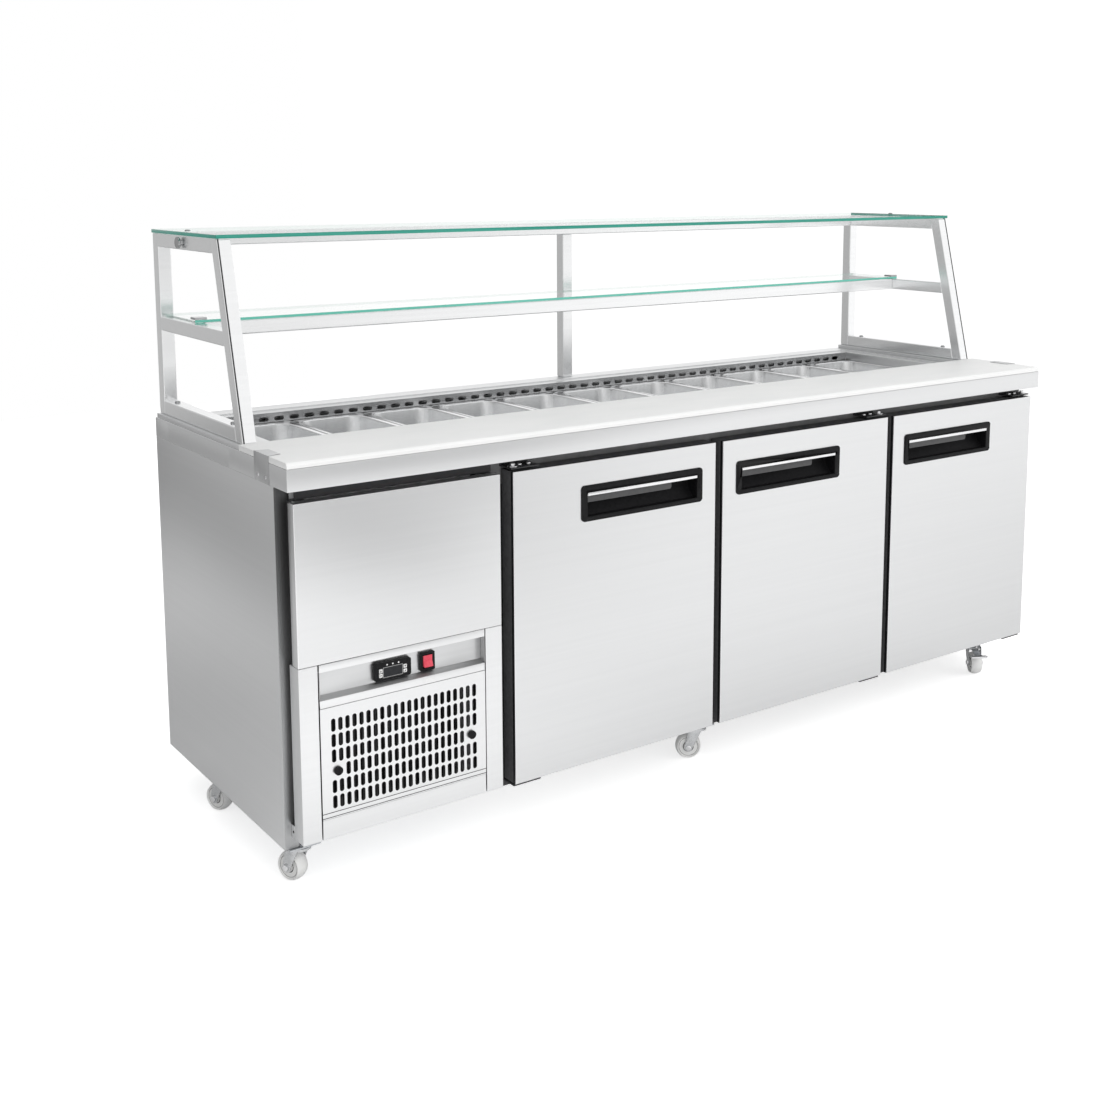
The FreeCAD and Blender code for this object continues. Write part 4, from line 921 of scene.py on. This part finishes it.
# Controls
dressed("controller", "counter", [black_plastic], edge=0.0003, steps=2, slot="black_plastic")
for index, mark in enumerate(key_marks, 1):
    key = f"button_{index}"
    dressed(key, key, [key_white], edge=0.0004, slot="grey_key")
    piece(f"{key}_mark", key_sign(key, mark), key, [black_plastic], slot="black_plastic")
controller_low, controller_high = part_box("controller")
display_face = controller_low.y
display_x, display_z = front_middle(controller_low, controller_high)
window_z = display_z - window_drop
piece("display_window", display_window(display_face, display_x, window_z), "counter", [screen],
      slot="black_plastic")
piece("display_surround", display_surround(display_face, display_x, window_z), "counter", [grey_trim_and_groove_shade],
      slot="grey_key")
piece("display_lamps", display_lamps(display_face, display_x, display_z + lamp_rise), "counter", [mark_white],
      slot="white_plastic")
dressed("switch_bezel", "counter", [black_plastic], edge=0.0008, slot="black_plastic")
dressed("switch_rocker", "switch_rocker", [key_red], edge=0.0010, slot="red_key")


def rectangle(shape, low, high, inset, depth):
    """Add the corners of an upright rectangle at a depth, inset from a box."""
    x0, x1 = low.x + inset, high.x - inset
    z0, z1 = low.z + inset, high.z - inset
    return [shape.verts.new((x, depth, z)) for x, z in ((x0, z0), (x1, z0), (x1, z1), (x0, z1))]


def folded_door(node, handle):
    """Door with a steel skin that is folded round its edges and open behind the pull."""
    low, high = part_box(node)
    hole_low, hole_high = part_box(handle)
    shape = copied(node)
    for vert in shape.verts:
        if vert.co.y < low.y + weld:
            vert.co.y += fold
    everything = shape.verts[:] + shape.edges[:] + shape.faces[:]
    level = (0.0, low.y + groove, 0.0)
    bmesh.ops.bisect_plane(shape, geom=everything, plane_co=level, plane_no=(0.0, 1.0, 0.0))
    skin = [rectangle(shape, low, high, 0.0, low.y + fold)]
    for step in range(round_steps + 1):
        angle = quarter * step / round_steps
        inset = door_round * (1.0 - math.cos(angle))
        skin.append(rectangle(shape, low, high, inset, low.y + door_round * (1.0 - math.sin(angle))))
    skin.append(rectangle(shape, hole_low, hole_high, pull_overlap, low.y))
    skin.append(rectangle(shape, hole_low, hole_high, pull_overlap, low.y + fold))
    skin.append(skin[0])
    joined(shape, skin)
    return shape


def pull_bar(low, high):
    """Bar with a rounded right end at the back of the finger hollow."""
    shape = bmesh.new()
    level = (low.z + high.z) / 2
    left, right = low.x + bar_left, low.x + bar_right
    bottom, top = level - bar_below, level + bar_above
    outline = [(left, bottom), (left, top)]
    for corner_z, start in ((top - bar_round, 90.0), (bottom + bar_round, 0.0)):
        for step in range(bar_steps + 1):
            angle = math.radians(start - 90.0 / bar_steps * step)
            x = right - bar_round + bar_round * math.cos(angle)
            outline.append((x, corner_z + bar_round * math.sin(angle)))
    front_y = panel_front + bar_front
    prism(shape, [(x, front_y, z) for x, z in outline], (0.0, bar_depth, 0.0))
    return shape


def add_door(body, handle):
    """One door with its pull and the bar in the pull."""
    front_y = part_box(body)[0].y
    back_y = front_y + door_depth
    handle_low, handle_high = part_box(handle)

    def door_side(normal, centre):
        """Steel skin with a painted highlight on its rounded front edges, black groove, door edges in black
        plastic made lighter with painted light, pale inner liner and dark gasket.
        """
        if centre.y > back_y + gasket_proud:
            return 3
        if centre.y < front_y + fold - weld:
            return 5 if weld < centre.y - front_y < door_round else 0
        if normal.y > square_on and centre.y > back_y - liner_sunk:
            return 2
        return 1 if centre.y < front_y + groove else 4

    def handle_part(normal, centre):
        """Bright strip on the black pull."""
        return 1 if centre.y < handle_low.y + pull_strip and normal.y < square_on else 0

    door_materials = [steel_x, black_plastic, liner, rubber_and_shade, edge_plastic_painted_light, bright_steel_and_highlight]
    piece(f"{body}_skin", folded_door(body, handle), body, door_materials, pick=door_side, hides=(body,),
          slot="insulated_panel", limit=flat_limit)
    dressed(handle, body, [black_plastic, bright_steel_and_highlight], edge=0.0010, pick=handle_part, slot="black_plastic")
    piece(f"{handle}_bar", pull_bar(handle_low, handle_high), body, [bar_grey], edge=0.0015,
          slot="black_plastic")


def hinge_fittings():
    """Bright pivot heads, and bracket screws on the side to which each bracket runs."""
    shape = bmesh.new()
    for x, inward in hinge_pins:
        turned(shape, (x, hinge_depth, bracket_top), upward, pivot_profile, 24)
        for reach in hinge_screw_reaches:
            place = (x + inward * reach, hinge_screw_depth, bracket_top)
            screw_head(shape, place, upward, hinge_screw_radius, hinge_screw_height)
    return shape


# Doors and hinges
for index in range(1, door_count + 1):
    add_door(f"door_{index}", f"door_{index}_handle")
dressed("hinge_brackets", "counter", [dark_steel], edge=0.0005, slot="dark_steel")
piece("hinge_fittings", hinge_fittings(), "counter", [bright_steel_and_highlight], edge=0.0005, steps=2, slot="zinc_plate")

# Inside the machine bay and the cold store
dressed("condensing_unit", "counter", [compressor_paint], slot="light_alloy")
dressed("condenser_fan", "condenser_fan", [black_plastic], slot="black_plastic")
dressed("evaporator", "counter", [alloy], slot="white_plastic")
dressed("evaporator_fan", "evaporator_fan", [black_plastic], slot="black_plastic")
dressed("wire_shelves", "counter", [coated_wire], slot="coated_wire")

joints = frame["record"]["behaviour"]["joints"]
roll_joints = {joint["child"]: joint for joint in joints if "roll" in joint["name"]}


def groove_shade_rings(joint, inner, outer):
    """Painted shade: dark rings between two radii on both sides of a wheel, standing in for the shade in its
    grooves.
    """
    shape = bmesh.new()
    floor_level = wheel_half - wheel_dish
    for side in (-1, 1):
        outward = Vector(joint["axis"]) * side
        hoop(shape, joint["pos_m"], outward, inner, outer, floor_level, floor_level + groove_proud)
    return shape


def add_caster(name):
    """Fork, grooved wheel and, where there is one, brake pedal of a caster."""
    fork, wheel, pedal = f"{name}_fork", f"{name}_wheel", f"{name}_pedal"
    roll = roll_joints[wheel]
    axle = Vector(roll["pos_m"])
    axle_line = Vector(roll["axis"])

    def fork_part(normal, centre):
        """Bright bolt heads outside the zinc fork."""
        reach = abs((centre - axle).dot(axle_line))
        return 1 if reach > fork_outer + weld and centre.z < axle_bolt_top else 0

    dressed(fork, fork, [zinc, bright_steel_and_highlight], edge=0.0005, shortest=0.004, pick=fork_part, slot="zinc_plate")
    dressed(wheel, wheel, [nylon], slot="white_nylon")
    piece(f"{name}_hub_groove_shade", groove_shade_rings(roll, *hub_groove_shade), wheel, [rubber_and_shade], slot="white_nylon")
    piece(f"{name}_rim_groove_shade", groove_shade_rings(roll, *rim_groove_shade), wheel, [grey_trim_and_groove_shade], slot="white_nylon")
    if pedal in nodes:
        dressed(pedal, pedal, [bright_steel_and_highlight], edge=0.0005, shortest=0.004, slot="zinc_plate")


for index in range(1, caster_count + 1):
    add_caster(f"caster_{index}")


def floor_material():
    """Floor that looks even and white to the eye, with painted shade and a painted glow that the eye does not
    see but the steel mirrors.
    """
    material, tree, shader = new_material("floor_white")
    path = tree.nodes.new("ShaderNodeLightPath").outputs
    place, along = coordinates(tree, "Object")

    def away(x, y, near, far, low, high):
        """Value that changes with the distance on the floor from a point."""
        return faded(tree, measured(tree, "DISTANCE", place, x, y), near, far, low, high)

    # Painted shade: the floor is greyer behind the left end, beside it and far ahead of the doors, which
    # gives the side panel its tone
    behind = away(-2.8, 4.2, near=1.0, far=3.0, low=0.26, high=0.66)
    beside = away(-1.3, 0.2, near=0.2, far=1.7, low=0.50, high=floor_plain)
    ahead = away(-0.5, -4.5, near=1.2, far=3.4, low=0.30, high=floor_plain)
    shade = combined(tree, "MINIMUM", combined(tree, "MINIMUM", behind, beside), ahead)
    seen = combined(tree, "MAXIMUM", path["Is Camera Ray"], path["Is Transmission Ray"])
    plain = faded(tree, seen, 0.0, 1.0, 0.0, floor_plain)
    speck = spread(tree, noise(tree, even(0.6)), -0.02, 0.02)
    tone = combined(tree, "ADD", combined(tree, "MAXIMUM", shade, plain), speck)
    tree.links.new(tones(tree, tone, even(0.36), even(0.82)), shader.inputs["Base Color"])
    shader.inputs["Roughness"].default_value = 0.9
    shader.inputs["Specular IOR Level"].default_value = 0.0
    shader.inputs["Emission Color"].default_value = (1.0, 1.0, 1.0, 1.0)

    # Painted light: a glow that only mirror rays see makes it brighter in front of the doors and of the bay,
    # for the steel to mirror
    front = faded(tree, along["Y"], near=-1.4, far=0.1, low=0.34, high=0.0)
    clear = away(-0.5, -4.5, near=1.2, far=3.4, low=0.0, high=1.0)
    right = away(2.8, -0.8, near=0.2, far=2.4, low=0.3, high=1.0)
    front_painted_glow = combined(tree, "MULTIPLY", front, combined(tree, "MULTIPLY", clear, right))
    bay_painted_glow = away(-1.1, -0.6, near=0.1, far=1.5, low=0.25, high=0.0)
    painted_glow = combined(tree, "ADD", front_painted_glow, bay_painted_glow)
    mirrored_painted_glow = combined(tree, "MULTIPLY", painted_glow, path["Is Glossy Ray"])
    seen_lift = faded(tree, seen, 0.0, 1.0, 0.0, floor_glow)
    tree.links.new(combined(tree, "ADD", mirrored_painted_glow, seen_lift), shader.inputs["Emission Strength"])
    return material


def studio_sky():
    """White surroundings with a soft light that is lower at the left and in a band ahead of the doors."""
    world = bpy.data.worlds.new("studio")
    world.use_nodes = True
    tree = world.node_tree
    background = tree.nodes["Background"]
    place, along = coordinates(tree, "Generated")
    height = faded(tree, along["Z"], near=0.15, far=0.65, low=1.0, high=0.85)
    to_right = measured(tree, "DOT_PRODUCT", place, 0.85, -0.5)
    side = faded(tree, to_right, near=-0.95, far=0.1, low=0.46, high=1.06)
    above = faded(tree, along["Z"], near=-0.09, far=0.01, low=0.0, high=1.0)
    below = faded(tree, along["Z"], near=0.10, far=0.24, low=1.0, high=0.0)
    to_front = measured(tree, "DOT_PRODUCT", place, 0.1, -0.99)
    ahead = faded(tree, to_front, near=0.78, far=0.98, low=0.0, high=1.0)
    band = combined(tree, "MULTIPLY", ahead, combined(tree, "MULTIPLY", above, below))
    dip = faded(tree, band, near=0.0, far=1.0, low=1.0, high=0.40)
    sky = combined(tree, "MULTIPLY", height, combined(tree, "MULTIPLY", side, dip))
    path = tree.nodes.new("ShaderNodeLightPath").outputs
    seen = combined(tree, "MAXIMUM", path["Is Camera Ray"], path["Is Transmission Ray"])
    background.inputs["Color"].default_value = (1.0, 1.0, 1.0, 1.0)
    tree.links.new(combined(tree, "MAXIMUM", seen, sky), background.inputs["Strength"])
    return world


def softbox(name, place, target, size, power):
    """Square soft lamp aimed at a point, left out of mirror reflections."""
    data = bpy.data.lights.new(name, "AREA")
    data.shape = "SQUARE"
    data.size = size
    data.energy = power
    lamp = bpy.data.objects.new(name, data)
    scene.collection.objects.link(lamp)
    lamp.location = place
    lamp.rotation_euler = (Vector(target) - Vector(place)).to_track_quat("-Z", "Y").to_euler()
    lamp.visible_glossy = False


# Floor, light and camera
floor_shape = bmesh.new()
floor_profile = [(floor_radius, 0.0), (floor_radius, floor_sheet)]
turned(floor_shape, (0.0, 0.0, -floor_sheet), upward, floor_profile, floor_sides)
floor_mesh = bpy.data.meshes.new("floor")
floor_shape.to_mesh(floor_mesh)
floor_shape.free()
floor = bpy.data.objects.new("floor", floor_mesh)
scene.collection.objects.link(floor)
floor_mesh.materials.append(floor_material())

scene.world = studio_sky()
softbox("key", place=(3.0, -3.6, 3.6), target=(0.2, -0.4, 0.5), size=3.0, power=60.0)
softbox("low_fill", place=(-1.6, -3.4, 0.6), target=(-0.4, -0.3, 0.05), size=1.6, power=22.0)

camera_data = bpy.data.cameras.new("camera")
camera_data.sensor_width = camera_sensor
camera_data.lens = camera_lens
camera_data.shift_x = camera_shift_x
camera_data.shift_y = camera_shift_y
camera = bpy.data.objects.new("camera", camera_data)
scene.collection.objects.link(camera)
camera.location = camera_place
camera.rotation_euler = (math.radians(90.0 - camera_dip_degrees), 0.0, -math.radians(camera_turn_degrees))
scene.camera = camera
scene.view_settings.view_transform = "Standard"
